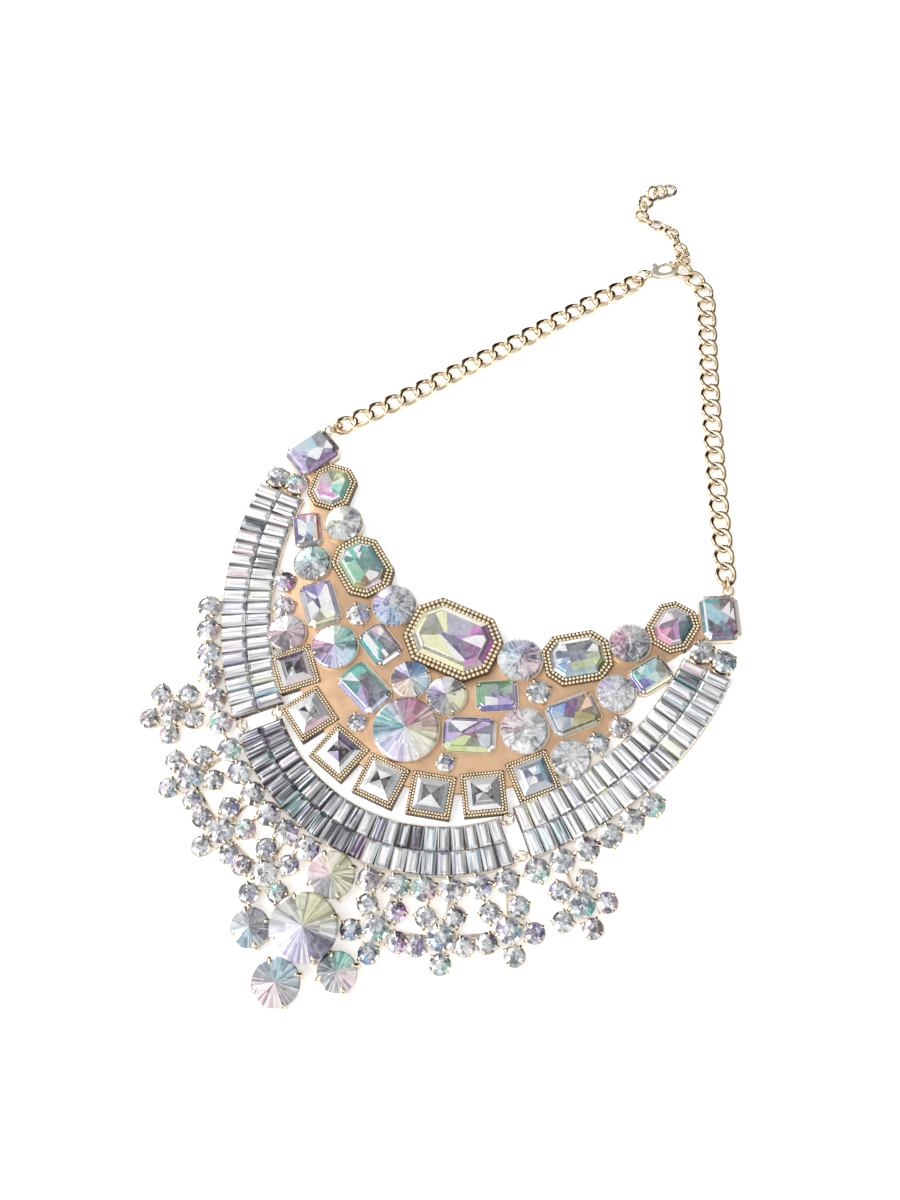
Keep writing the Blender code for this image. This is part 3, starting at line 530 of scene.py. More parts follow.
# %% The main stones
STONES = {
    "centre_octagon": ("octagon", 26.8, 19.0, 0, 3.2, "magenta white straw straw indigo"),
    "end_rect_right": ("octagon", 16.2, 12.6, 117, 0, "maroon brown teal slate ice"),
    "end_rect_left": ("octagon", 17.3, 13.3, -117, 0, "plum grey clear lavender ice"),
    "small_octagon_right": ("octagon", 13.3, 11.1, 83, 2.4, "teal grey blush pink magenta"),
    "small_octagon_left": ("octagon", 13.3, 11.1, -83, 2.4, "mint lime blush magenta white"),
    "mid_octagon_right": ("octagon", 18.0, 13.0, 35, 2.7, "lime grey clear blue slate"),
    "mid_octagon_left": ("octagon", 18.0, 13.0, -35, 2.7, "maroon teal mint olive mint"),
    "tilted_rect_right": ("octagon", 13.2, 9.4, 57, 0, "lime smoke mint indigo ice"),
    "tilted_rect_left": ("octagon", 13.2, 9.4, -57, 0, "peach pink indigo slate ice"),
    "big_rect_right": ("octagon", 16.7, 11.7, 47, 0, "olive peach blue clear plum"),
    "big_rect_left": ("octagon", 16.7, 11.7, -47, 0, "white lavender indigo straw indigo"),
    "short_rect_right": ("octagon", 13.9, 10.3, 28, 0, "lavender green green indigo slate"),
    "short_rect_left": ("octagon", 13.9, 10.3, -28, 0, "maroon blush slate teal teal"),
    "wide_rect_right": ("octagon", 17.3, 11.7, 22, 0, "clear lavender lavender lime maroon"),
    "wide_rect_left": ("octagon", 17.3, 11.7, -22, 0, "slate mint teal lavender maroon"),
    "outer_round_right": ("round", 13.6, 13.6, 0, 0, "grey white pink smoke grey"),
    "outer_round_left": ("round", 13.6, 13.6, 0, 0, "grey clear straw clear grey"),
    "inner_round_right": ("round", 15.1, 15.1, 0, 0, "blush lavender ice grey grey"),
    "inner_round_left": ("round", 15.1, 15.1, 0, 0, "clear clear lavender blue clear"),
    "shoulder_round_right": ("round", 13.0, 13.0, 0, 0, "white clear lavender grey white"),
    "shoulder_round_left": ("round", 13.0, 13.0, 0, 0, "clear mint ice smoke clear"),
    "core_round_right": ("rivoli", 13.1, 13.1, 0, 0, "straw white lavender grey ice"),
    "core_round_left": ("rivoli", 13.1, 13.1, 0, 0, "ice blue plum peach peach"),
    "large_round_right": ("round", 15.8, 15.8, 0, 0, "clear white blush white grey"),
    "large_round_left": ("rivoli", 15.8, 15.8, 0, 0, "ice mint pink lavender blush"),
    "side_round_right": ("round", 13.0, 13.0, 0, 0, "white clear clear white grey"),
    "side_round_left": ("rivoli", 13.0, 13.0, 0, 0, "blush clear blush smoke clear"),
    "big_rivoli": ("rivoli", 22.0, 22.0, 0, 0, "straw pink teal lavender white"),
}
# Each square's heart, night or slate, is the dark bow tie: a painted dark reflection.
SQUARES = [
    "blush plum white clear night", "blush clear white clear night", "clear plum white lavender night",
    "clear white white clear night", "clear white clear white night", "clear white clear white night",
    "clear ice white clear slate",
]
PENDANTS = [
    ("top", 15.2, "straw straw blush grey blush"), ("big", 21.8, "smoke straw clear lavender white"),
    ("bottom", 15.2, "clear ice grey blush clear"), ("left", 12.6, "smoke grey clear ice white"),
    ("right", 12.6, "blush mint smoke clear white"),
]
for number, words in enumerate(SQUARES, start=1):
    STONES[f"square_{number}"] = ("square", 10.6, 10.6, 15.4 * (number - 4), 1.9, words)
for place, size, words in PENDANTS:
    STONES["pendant_" + place] = ("rivoli", size, size, 0, 0, words)
print("main stones:", len(STONES))

# %% [markdown]
# A stone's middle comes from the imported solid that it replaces, so that it can't drift. Its seat is
# kept for the cups, frames and claws that follow. The stones are cut a little oversize, so that no
# gap shows between a stone and its cup.

# %% Cut the main stones
GIRDLE = 0.5 * MM
OVERSIZE = 1.04
PAINTED_RAY_CONTRAST = {"round": 0.40, "rivoli": 0.46}
# For squares a large dark heart kept to a bow tie: painted dark reflection.
HEARTS = {"octagon": (0.3, 1), "square": (1.2, 0.1)}
seats = {}
for name, (cut, length, width, turn, edge, words) in STONES.items():
    low, high = (Vector(corner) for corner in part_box(name))
    corner = 0 if cut == "square" else 0.26 if edge else 0.17
    seat = SimpleNamespace(
        fan=cut in PAINTED_RAY_CONTRAST, length=length * MM, width=width * MM, corner=corner * (width * MM),
        edge=edge * MM, turn=math.radians(turn), rim=low.z + 0.16 * width * MM,
        middle=Vector(((low.x + high.x) / 2, (low.y + high.y) / 2, 0)),
    )
    seat.pose = posed(seat.middle, seat.turn)
    seats[name] = seat
    grown = OVERSIZE * MM
    blank = cut_stone(
        cut, length * grown, width * grown, corner * width * grown, seat.rim, GIRDLE,
        high.z - seat.rim - GIRDLE, name,
    )
    blank.data.transform(seat.pose)
    if seat.fan:
        tint_fan(blank, seat.middle, words, seat.length / 2, name, PAINTED_RAY_CONTRAST[cut])
    else:
        tint_facets(blank, seat.middle, words, seat.length / 2, name, *HEARTS[cut])
    joined(name + "_cut", [blank], PAINTED_SPARKLE if cut == "round" else STONE, "crystal", name)

# %% [markdown]
# Every stone sits in a cup. The open rims of the plain ones are thin walls that end at the girdle,
# and the five big octagons and the squares have a wide frame that carries two rows of beads. A cup
# is the stone's outline again, grown, with its top face inset to leave the wall and pushed down.

# %% Cups and frames
GAP = 0.3 * MM
PLAIN_WALL = 0.35 * MM


def cup(fan, length, width, corner, wall, top, floor):
    """A cup that stands on the table, with a wall round an open seat."""
    grow = 2 * (GAP + wall)
    if fan:
        piece = add(
            bpy.ops.mesh.primitive_cylinder_add, "cup", vertices=40, radius=length / 2 + grow / 2,
            depth=top, location=(0, 0, top / 2),
        )
    else:
        piece = girdle("octagon", length + grow, width + grow, corner * (1 + grow / width), 0, top)
    pick(piece, looks_up)
    bpy.ops.mesh.inset(thickness=wall, depth=0)
    bpy.ops.mesh.extrude_region_move(TRANSFORM_OT_translate={"value": (0, 0, floor - top)})
    return done(piece, 35)


plain_cups = []
frames = []
for name, seat in seats.items():
    if name.startswith("pendant"):
        continue
    wall = seat.edge or PLAIN_WALL
    piece = cup(seat.fan, seat.length, seat.width, seat.corner, wall, seat.rim - 0.1 * MM, 1.2 * MM)
    piece.data.transform(seat.pose)
    (frames if seat.edge else plain_cups).append(piece)
print(len(plain_cups), "plain cups and", len(frames), "wide frames")

# %% [markdown]
# The beads are small balls pressed into the frames in two rows. The frames under them are a darker
# metal, which is painted shade in the gaps between the beads. One ball is modelled, and the rows walk
# round the outline of each stone at two distances from it.

# %% Beads along the frames
BEAD_ROWS = ((0.22, 0.0, 0.0), (0.74, 0.25 * MM, 0.5))


def cut_corners(length, width, corner):
    """The corners of an octagon, in order."""
    x, y = length / 2, width / 2
    half = [
        Vector((x, y - corner, 0)), Vector((x - corner, y, 0)), Vector((corner - x, y, 0)),
        Vector((-x, y - corner, 0)),
    ]
    return half + [-point for point in half]


def walk(corners, spacing, late):
    """Evenly spaced points round a closed outline, from a share of a step after its start."""
    sides = [(a, b) for a, b in zip(corners, corners[1:] + corners[:1]) if a != b]
    total = sum((b - a).length for a, b in sides)
    count = round(total / spacing)
    found = []
    for k in range(count):
        run = total * (k + late) / count
        for a, b in sides:
            if run <= (b - a).length:
                found.append(a.lerp(b, run / (b - a).length))
                break
            run -= (b - a).length
    return found


bead = add(bpy.ops.mesh.primitive_uv_sphere_add, "bead", segments=8, ring_count=6, radius=0.5)
done(bead, 180)
masters.append(bead)
beads = []
for seat in seats.values():
    if not seat.edge:
        continue
    size = max(seat.edge * 0.47, 0.96 * MM)
    for share, drop, late in BEAD_ROWS:
        grow = 2 * (GAP + share * seat.edge)
        corner = seat.corner * (1 + grow / seat.width)
        outline = cut_corners(seat.length + grow, seat.width + grow, corner)
        for point in walk(outline, size * 1.06, late):
            beads.append(copied(bead, seat.pose @ point + UP * (seat.rim - drop), size=(size, size, size)))
print(len(beads), "beads")

# %% [markdown]
# Claws hold the stones. A claw is a short round wire that leans over the girdle: a small cylinder
# whose top is extruded inwards three times, shrunk each time, and then shaded smooth. It is modelled
# at the origin and leans towards -X, so that turning a copy about Z points it at its stone.

# %% Claws
BENDS = ((-0.22, 0.42, 0.92), (-0.42, 0.22, 0.8), (-0.30, 0.03, 0.6))
claw = add(bpy.ops.mesh.primitive_cylinder_add, "claw", vertices=8, radius=0.5, depth=1, location=(0, 0, 0.5))
pick(claw, looks_up)
for slide, rise, share in BENDS:
    bpy.ops.mesh.extrude_region_move(TRANSFORM_OT_translate={"value": (slide, 0, rise)})
    bpy.ops.transform.resize(value=(share, share, 1))
done(claw, 60)
masters.append(claw)


CLAW_TALL = 1 + sum(rise for slide, rise, share in BENDS)
QUARTERS = [math.radians(45 + 90 * k) for k in range(4)]


def claw_at(middle, reach, turn, low, high, thick):
    """A claw at a distance from a middle, from height low to high."""
    place = middle + heading(turn) * reach + UP * low
    return copied(claw, place, turn, (thick, thick, (high - low) / CLAW_TALL))


def four_claws(middle, reach, turn, low, high, thick):
    """A claw in each diagonal direction."""
    return [claw_at(middle, reach, turn + quarter, low, high, thick) for quarter in QUARTERS]


claws = []
for name, seat in seats.items():
    top = seat.rim + GIRDLE + 0.5 * MM
    if seat.fan and not name.startswith("pendant"):
        claws += four_claws(seat.middle, seat.length / 2 + 0.25 * MM, 0, 1 * MM, top, 1.1 * MM)
    elif not seat.fan and not seat.edge:
        x, y = (seat.length - seat.corner) / 2, (seat.width - seat.corner) / 2
        for sx, sy in ((1, 1), (-1, 1), (-1, -1), (1, -1)):
            spot = seat.pose @ Vector((sx * x, sy * y, 0))
            lean = seat.turn + math.atan2(sy, sx)
            claws.append(claw_at(spot, 0.35 * MM, lean, 1 * MM, top, 1.3 * MM))
print(len(claws), "claws")

# %% [markdown]
# The joining plate is a smooth, slightly pink casting that shows between the cups. Its outline is a
# ring of points on the right half, mirrored. A filled circle with as many corners is added, each
# corner is moved to its point, and the face is extruded and its upper edge bevelled.

# %% The joining plate
PLATE_CORNERS = [
    (0.000, -0.060), (0.265, -0.075), (0.450, 0.050), (0.600, 0.140), (0.720, 0.290), (0.860, 0.400),
    (0.890, 0.320), (0.765, 0.130), (0.730, 0.020), (0.650, -0.110), (0.700, -0.180), (0.660, -0.280),
    (0.580, -0.400), (0.490, -0.510), (0.350, -0.625), (0.190, -0.700), (0.000, -0.730),
]


def flat_plate(name, points, thickness, soft):
    """A plate over an outline, with its upper edge rounded off."""
    piece = add(bpy.ops.mesh.primitive_circle_add, name, vertices=len(points), radius=1, fill_type="NGON")
    for vertex, point in zip(piece.data.vertices, points):
        vertex.co = (point.x, point.y, 0)
    pick(piece, lambda face: True)
    bpy.ops.mesh.extrude_region_move(TRANSFORM_OT_translate={"value": (0, 0, thickness)})
    bpy.ops.mesh.select_all(action="SELECT")
    bpy.ops.mesh.normals_make_consistent(inside=False)
    pick(piece, lambda edge: all(v.co.z > thickness * 0.99 for v in edge.verts), "EDGE")
    bpy.ops.mesh.bevel(offset=soft, segments=2, affect="EDGES")
    return done(piece, 40)


right_side = [at(*corner) for corner in PLATE_CORNERS]
left_side = [Vector((-point.x, point.y, 0)) for point in right_side[1:-1]]
plate = flat_plate("joining_plate", right_side[::-1] + left_side, 2.6 * MM, 0.4 * MM)
joined("joining_plate", [plate], ROSE_PLATE, "gold", "bib_frame")
# The frames' darker metal is painted shade between the beads.
joined("bead_frames", frames, PAINTED_SHADE_METAL, "gold")
joined("bead_rows", beads, BEAD_GOLD, "gold")
joined("stone_cups", plain_cups + claws, GOLD, "gold")

# %% [markdown]
# A chaton is a small round stone in its own cup with four claws. Cup and stone are modelled once,
# one unit wide, and scaled to each place. The stone is a twelve-sided blank with a crown, a table
# and a poked heart, so that every copy sparkles in a dozen directions.

# %% The chaton
chaton_stone = add(
    bpy.ops.mesh.primitive_cylinder_add, "chaton_stone", vertices=12, radius=0.485, depth=0.4 * MM,
    location=(0, 0, 3.1 * MM),
)
pick(chaton_stone, looks_up)
for share, rise in ((0.10, 0.5 * MM), (0.14, 0.45 * MM), (0.05, 0.05 * MM)):
    bpy.ops.mesh.inset(thickness=share, depth=rise)
bpy.ops.mesh.poke(offset=0.05 * MM)
done(chaton_stone)
chaton_cup = add(
    bpy.ops.mesh.primitive_cone_add, "chaton_cup", vertices=16, radius1=0.40, radius2=0.5, depth=3 * MM,
    location=(0, 0, 1.5 * MM),
)
pick(chaton_cup, looks_up)
bpy.ops.mesh.inset(thickness=0.03, depth=0)
bpy.ops.mesh.extrude_region_move(TRANSFORM_OT_translate={"value": (0, 0, -0.4 * MM)})
done(chaton_cup, 40)
masters += [chaton_stone, chaton_cup]

CHATON_WORDS = [
    "grey white smoke clear grey", "lavender grey smoke clear smoke", "clear teal grey smoke white",
    "blush grey smoke white clear", "grey plum white smoke clear", "white grey clear clear smoke",
    "brown clear blush grey smoke", "clear white clear smoke grey", "mint clear smoke grey clear",
    "ice clear lavender smoke white", "indigo clear grey white smoke", "blush clear mint smoke clear",
]
TINTED_WORDS = CHATON_WORDS + [
    "indigo lavender smoke clear plum", "lavender blue white smoke indigo",
    "magenta smoke clear lavender plum", "teal clear smoke ice slate",
    "blush lavender clear smoke white", "slate ice smoke blue clear",
]
SIDE_WORDS = {1: TINTED_WORDS, -1: CHATON_WORDS}
INSETS = [(0.377, -0.191, 0.088), (0.181, -0.580, 0.068), (0.704, -0.190, 0.080), (0.654, -0.284, 0.080)]


def chatons(places, seed, words):
    """(metal pieces, stone pieces) of chatons, from (place, size, turn) for each."""
    chance = random.Random(seed)
    metal = []
    stones = []
    for place, drawn, turn in places:
        size = drawn * 1.07
        metal.append(copied(chaton_cup, place, turn, (size, size, 1)))
        metal += four_claws(place, size * 0.52, turn, 1.2 * MM, 4.2 * MM, 0.15 * size)
        stone = copied(chaton_stone, place, turn + chance.uniform(0, 1), (size, size, 1))
        tint_facets(stone, place, chance.choice(words), size / 2, chance.random())
        stones.append(stone)
    return metal, stones


places = [(at(side * x, y), size * HALF, 0) for side in (1, -1) for x, y, size in INSETS]
metal, stones = chatons(places, "insets", TINTED_WORDS)
joined("inset_cups", metal, GOLD, "gold")
joined("inset_stones", stones, SMALL_STONE, "crystal")

# %% [markdown]
# The bands are channels filled with baguettes. A strip that follows an arc starts as a flat grid:
# its length becomes the angle and its width the radius, and the strip is extruded upwards. The
# channel's floor and its rails are such strips.

# %% Arc strips
def arc_of(x, y, radius, start, end, row, count):
    """A band's arc, from shares of the half width and degrees, with its number of baguettes."""
    return SimpleNamespace(
        x=x, y=y, radius=radius * HALF, start=math.radians(start), end=math.radians(end), row=row * HALF,
        count=count,
    )


ARM = arc_of(0.330, 0.190, 1.240, 1.5, 45.5, 0.097, 19)
CENTRE = arc_of(0.0, -0.214, 0.731, 46.5, 133.5, 0.087, 22)


def arc_point(arc, side, radius, turn):
    """A point round an arc's middle, whose turn runs down from +X, mirrored for the left side."""
    return at(-side * arc.x, arc.y) + radius * Vector((side * math.cos(turn), -math.sin(turn), 0))


def arc_strip(name, arc, side, inner, outer, high):
    """A curved bar that stands on the table, all along an arc and between two radii."""
    piece = add(bpy.ops.mesh.primitive_grid_add, name, x_subdivisions=24, y_subdivisions=1, size=2)
    for vertex in piece.data.vertices:
        turn = arc.start + (arc.end - arc.start) * (vertex.co.x + 1) / 2
        radius = inner + (outer - inner) * (vertex.co.y + 1) / 2
        vertex.co = arc_point(arc, side, radius, turn)
    pick(piece, lambda face: True)
    bpy.ops.mesh.extrude_region_move(TRANSFORM_OT_translate={"value": (0, 0, high)})
    bpy.ops.mesh.select_all(action="SELECT")
    bpy.ops.mesh.normals_make_consistent(inside=False)
    return done(piece, 30)


print("baguettes:", 2 * (2 * ARM.count + CENTRE.count))

# %% [markdown]
# One baguette is a long box whose top is inset three times, so that it has strips of steps down
# both long sides and a narrow table. Copies are stretched a little to their row. In the photo the
# arms are pale and the centre band is dark on its left and nearly white on its right.

# %% The baguette
BAR = Vector((9.0, 4.2, 1.5)) * MM
baguette = add(bpy.ops.mesh.primitive_cube_add, "baguette", size=1, location=UP * BAR.z / 2)
baguette.dimensions = BAR
done(baguette)
pick(baguette, looks_up)
for share, rise in ((0.45, 0.65), (0.50, 0.30), (0.55, 0.12)):
    bpy.ops.mesh.inset(thickness=share * MM, depth=rise * MM)
done(baguette)
own_place = baguette.data.attributes.new("bar", "FLOAT_VECTOR", "POINT")
for vertex, spot in zip(baguette.data.vertices, own_place.data):
    spot.vector = vertex.co
masters.append(baguette)
print("baguette faces:", len(baguette.data.polygons))

# %% [markdown]
# A band is a floor of darker metal, which is painted shade under the baguettes, three thin rails and
# two rows of baguettes, with tiny balls of metal at the joints along both outer rails. Every strip of a
# baguette gets one of the tones of its words, and the table of a pale one is painted nearly white, a
# painted reflection of the sky.

# %% Bands of baguettes
PALE_WORDS = [
    "white white grey clear clear white", "clear lavender clear grey white", "white clear grey white grey",
    "blush white clear grey clear", "clear ice clear white grey", "straw clear white grey white",
    "clear white grey clear smoke", "white white clear grey clear",
]
DARK_WORDS = [
    "grey smoke smoke grey clear", "smoke grey grey smoke lavender", "plum grey smoke grey grey",
    "grey teal smoke grey smoke", "grey grey smoke smoke clear",
]
RAIL = 0.16 * MM
JOINT = 0.36 * MM
floors = []


def tint_strips(piece, words, chance, shine):
    """Give each strip of a baguette one of the words' tones, and its table a share of white, a painted
    reflection.
    """
    tones = [SWATCHES[word] for word in words.split()]
    top = max(face.center.z for face in piece.data.polygons)
    layer = piece.data.attributes.new("tint", "FLOAT_COLOR", "FACE")
    for face in piece.data.polygons:
        tone = blended(chance.choice(tones), chance.choice(tones), 0.25)
        # Painted reflection: the table mixes towards white by `shine`.
        if face.center.z == top:
            tone = blended(tone, SWATCHES["white"], shine)
        layer.data[face.index].color = (*tone, 1)


def band(name, arc, side, darkness):
    """A channel with two rows of baguettes. `darkness` gives a share for each turn."""
    chance = random.Random(name)
    inner, outer = arc.radius - arc.row, arc.radius + arc.row
    step = (arc.end - arc.start) / arc.count
    floors.append(arc_strip("floor", arc, side, inner, outer, 2.4 * MM))
    metal = []
    for line, tall in ((inner, 2.5), (arc.radius, 2.2), (outer, 2.5)):
        metal.append(arc_strip("rail", arc, side, line - RAIL, line + RAIL, tall * MM))
    stones = []
    for k in range(arc.count):
        turn = arc.start + (k + 0.5) * step
        for low in (inner, arc.radius):
            reach = low + arc.row / 2
            place = arc_point(arc, side, reach, turn) + UP * 1.4 * MM
            size = ((arc.row - 0.2 * MM) / BAR.x, (step * reach - JOINT) / BAR.y, 1)
            stone = copied(baguette, place, -turn if side > 0 else turn + math.pi, size)
            shift = chance.uniform(0, 1)
            for own in stone.data.attributes["bar"].data:
                own.vector = (own.vector[0], own.vector[1], shift)
            dark = chance.random() < darkness(turn)
            words = chance.choice(DARK_WORDS if dark else PALE_WORDS)
            tint_strips(stone, words, chance, 0 if dark else 0.8)
            stones.append(stone)
        for line in (inner + 0.1 * MM, outer - 0.1 * MM):
            place = arc_point(arc, side, line, arc.start + k * step) + UP * 2.6 * MM
            metal.append(copied(bead, place, size=(0.7 * MM, 0.7 * MM, 1.0 * MM)))
    return metal, stones


print("words for pale and dark baguettes:", len(PALE_WORDS), len(DARK_WORDS))

# %% [markdown]
# Standing eyes at the bands' ends are joined by small jump rings. A ring is a torus, and the torus
# primitive lies flat, so a standing one is turned upright before it is moved.

# %% Rings
EYE = 1.0 * MM
EYE_WIRE = 0.7 * MM
band_eyes = {}


def ring_at(place, radius, wire, normal):
    """A round ring of a middle radius and a wire thickness, square to a direction."""
    piece = add(
        bpy.ops.mesh.primitive_torus_add, "ring", major_segments=28, minor_segments=8,
        major_radius=radius, minor_radius=wire / 2,
    )
    piece.data.transform(Matrix.Translation(place) @ normal.to_track_quat("Z", "Y").to_matrix().to_4x4())
    return done(piece, 180)


def end_eyes(arc, side, last, key):
    """Standing eyes on one end wall of a band."""
    turn = arc.end if last else arc.start
    out = Vector((side * math.sin(turn), math.cos(turn), 0)) * (-1 if last else 1)
    made = []
    for share in (-0.75, 0.75):
        place = arc_point(arc, side, arc.radius + share * arc.row, turn)
        middle = place + out * 1.175 * MM + UP * 1.7 * MM
        band_eyes.setdefault(key, []).append(middle)
        made.append(ring_at(middle, EYE, EYE_WIRE, out.cross(UP)))
    return made


for ending, side in SIDES.items():
    metal, stones = band("arm" + ending, ARM, side, lambda turn: 0.04)
    places = [(at(side * x, y), 0.085 * HALF, 0) for x, y in ((0.870, 0.212), (0.957, 0.208))]
    cups, gems = chatons(places, "arm ends" + ending, SIDE_WORDS[side])
    tab = add(bpy.ops.mesh.primitive_cube_add, "tab", size=1, location=at(side * 0.912, 0.185, 0.6 * MM))
    tab.dimensions = (13 * MM, 6 * MM, 1.2 * MM)
    done(tab)
    pick(tab, looks_up)
    bpy.ops.mesh.inset(thickness=0.4 * MM, depth=0.2 * MM)
    done(tab)
    metal += cups + [tab] + end_eyes(ARM, side, True, "arm" + ending)
    joined("arm_setting" + ending, metal, GOLD, "gold", "arm_band" + ending)
    joined("arm_baguettes" + ending, stones, BAGUETTE, "crystal")
    joined("arm_end_stones" + ending, gems, SMALL_STONE, "crystal")


def centre_darkness(turn):
    """Dark on the left half of the centre band, pale on the right."""
    return 0.02 + 0.9 / (1 + math.exp(-(math.degrees(turn) - 84) / 5))


metal, stones = band("centre", CENTRE, 1, centre_darkness)
metal += end_eyes(CENTRE, 1, False, "centre_right") + end_eyes(CENTRE, 1, True, "centre_left")
joined("centre_setting", metal, GOLD, "gold", "centre_band")
joined("centre_baguettes", stones, BAGUETTE, "crystal")
# The band floors' darker metal is painted shade under the baguettes.
joined("band_floors", floors, PAINTED_SHADE_METAL, "gold")
for ending in SIDES:
    for k, place in enumerate(("inner", "outer")):
        first, second = band_eyes["arm" + ending][k], band_eyes["centre" + ending][k]
        made = ring_at((first + second) / 2, (second - first).length / 2, EYE_WIRE, UP)
        joined("jump_ring_wire_" + place + ending, [made], GOLD, "gold", "jump_ring_" + place + ending)

# %% [markdown]
# Rows of chatons follow the outside of the bands, and flowers of five petals hang from them. Thin
# bars of metal underneath join neighbour to neighbour. A bar is a box laid from one place to the
# next, with its upper edges inset.

# %% Rows and flowers
FLOWER_CENTRE = 0.089 * HALF
PETAL = 0.073 * HALF
PETAL_REACH = 0.0875 * HALF
ROW_CHATON = 0.087 * HALF
ROW_COUNT = 6
ARM_FLOWERS = [(0.829, -0.836, 30)]
BASE_FLOWERS = [(0.638, -1.022, 19), (0.436, -1.146, 7.5), (0.221, -1.211, 64.5)]


def web(start, end, wide=0.9 * MM, high=1.1 * MM):
    """A flat bar from start to end."""
    piece = add(bpy.ops.mesh.primitive_cube_add, "web", size=1, location=(0, 0, 0.5))
    done(piece)
    pick(piece, looks_up)
    bpy.ops.mesh.inset(thickness=0.12, depth=0)
    bpy.ops.transform.translate(value=(0, 0, 0.15))
    done(piece)
    run = end - start
    pose = posed((start + end) / 2, math.atan2(run.y, run.x))
    piece.data.transform(pose @ Matrix.Diagonal((run.length, wide, high, 1)))
    return piece


def flower(side, x, y, phase):
    """(chaton places, metal bars) of one flower."""
    middle = at(side * x, y)
    places = [(middle, FLOWER_CENTRE, 0)]
    bars = []
    for k in range(5):
        turn = math.radians(phase + 72 * k)
        out = Vector((side * math.cos(turn), math.sin(turn), 0))
        places.append((middle + out * PETAL_REACH, PETAL, math.atan2(out.y, out.x)))
        bars.append(web(middle, middle + out * PETAL_REACH))
    return places, bars


def garland(name, arc, side, start, step, flowers, seed, node):
    """A row of chatons along a band, with its flowers."""
    reach = arc.radius + arc.row + ROW_CHATON / 2 + GAP
    spots = [arc_point(arc, side, reach, math.radians(start + k * step)) for k in range(ROW_COUNT)]
    places = [(spot, ROW_CHATON, 0) for spot in spots]
    bars = [web(a, b) for a, b in zip(spots, spots[1:])]
    hearts = []
    for x, y, phase in flowers:
        more, extra = flower(side, x, y, phase)
        places += more
        bars += extra
        heart = more[0][0]
        bars.append(web(min(spots, key=lambda spot: (spot - heart).length), heart))
        hearts.append(heart)
    bars += [web(a, b) for a, b in zip(hearts, hearts[1:])]
    metal, stones = chatons(places, seed, SIDE_WORDS[side])
    joined(name + "_setting", metal + bars, GOLD, "gold", node)
    joined(name + "_stones", stones, SMALL_STONE, "crystal")


for ending, side in SIDES.items():
    garland("arm_garland" + ending, ARM, side, 25.6, 3.95, ARM_FLOWERS, "a" + ending, "arm_row" + ending)
    garland(
        "base_garland" + ending, CENTRE, side, 81.6, -6.4, BASE_FLOWERS, "b" + ending, "base_field" + ending,
    )

# %% [markdown]
# The pendants are big pointed stones on shallow open cups, held by four long claws each, and joined
# by flat bars. The cups are the cup of the main stones again, but smaller, so that they hide below.

# %% Pendant settings
pendant_metal = []
for name, seat in seats.items():
    if not name.startswith("pendant"):
        continue
    across = seat.length * 0.80
    piece = cup(seat.fan, across, across, 0, 0.7 * MM, seat.rim - 0.4 * MM, 1.0 * MM)
    piece.data.transform(seat.pose)
    pendant_metal.append(piece)
    reach = seat.length / 2 + 0.5 * MM
    top = seat.rim + GIRDLE + 0.7 * MM
    pendant_metal += four_claws(seat.middle, reach, 0, 1 * MM, top, 1.7 * MM)
    for out in map(heading, QUARTERS):
        start = seat.middle + out * seat.length * 0.3
        pendant_metal.append(web(start, seat.middle + out * reach, 1.4 * MM, 1.8 * MM))
band_edge = at(0, CENTRE.y + 0.004) - Vector((0, CENTRE.radius + CENTRE.row, 0))
pendant_metal.append(web(band_edge, seats["pendant_bottom"].middle, 2.4 * MM))
for name in ("pendant_left", "pendant_right"):
    pendant_metal.append(web(seats[name].middle, seats["pendant_big"].middle, 2.4 * MM))
joined("pendant_setting", pendant_metal, GOLD, "gold", "pendant_frame")

# %% [markdown]
# The chain is a curb chain. Its link is a torus drawn out into an oval and then twisted, so that
# neighbours lie over each other like shingles. A Simple Deform modifier does the twist and is
# applied. Links are copied along a smooth curve through the few points of the route, each from
# one stop to the next and a little past both.

# %% The curb link
WIRE = 1.8 * MM
LINK_LONG = 10.4 * MM
LINK_WIDE = 8.1 * MM
link = add(
    bpy.ops.mesh.primitive_torus_add, "link", major_segments=36, minor_segments=8,
    major_radius=(LINK_WIDE - WIRE) / 2, minor_radius=WIRE / 2,
)
pick(link, lambda face: True)
bpy.ops.transform.resize(value=(LINK_LONG / LINK_WIDE, 1, 1.1))
done(link, 50)
twist = link.modifiers.new("Twist", "SIMPLE_DEFORM")
twist.deform_method = "TWIST"
twist.deform_axis = "X"
twist.angle = math.radians(-48)
bpy.ops.object.modifier_apply(modifier="Twist")
masters.append(link)
print("link:", [round(value * 1000, 2) for value in link.dimensions])

# %% [markdown]
# A Catmull-Rom curve passes through all of its points, so the route keeps the few that were read
# from the photograph. It is walked in equal steps.

# %% Routes
def smooth_curve(points, pieces=12):
    padded = [2 * points[0] - points[1], *points, 2 * points[-1] - points[-2]]
    found = []
    for a, b, c, d in zip(padded, padded[1:], padded[2:], padded[3:]):
        for k in range(pieces):
            t = k / pieces
            found.append(0.5 * (
                2 * b + (c - a) * t + (2 * a - 5 * b + 4 * c - d) * t * t
                + (3 * b - a - 3 * c + d) * t * t * t
            ))
    return [*found, points[-1]]


def stops_along(points, spacing):
    """Evenly spaced points along the curve, with both ends."""
    curve = smooth_curve(points)
    spans = [(b - a).length for a, b in zip(curve, curve[1:])]
    count = round(sum(spans) / spacing)
    found = []
    for k in range(count):
        run = sum(spans) * k / count
        piece = 0
        while run > spans[piece]:
            run -= spans[piece]
            piece += 1
        found.append(curve[piece].lerp(curve[piece + 1], run / spans[piece]))
    return [*found, curve[-1]]


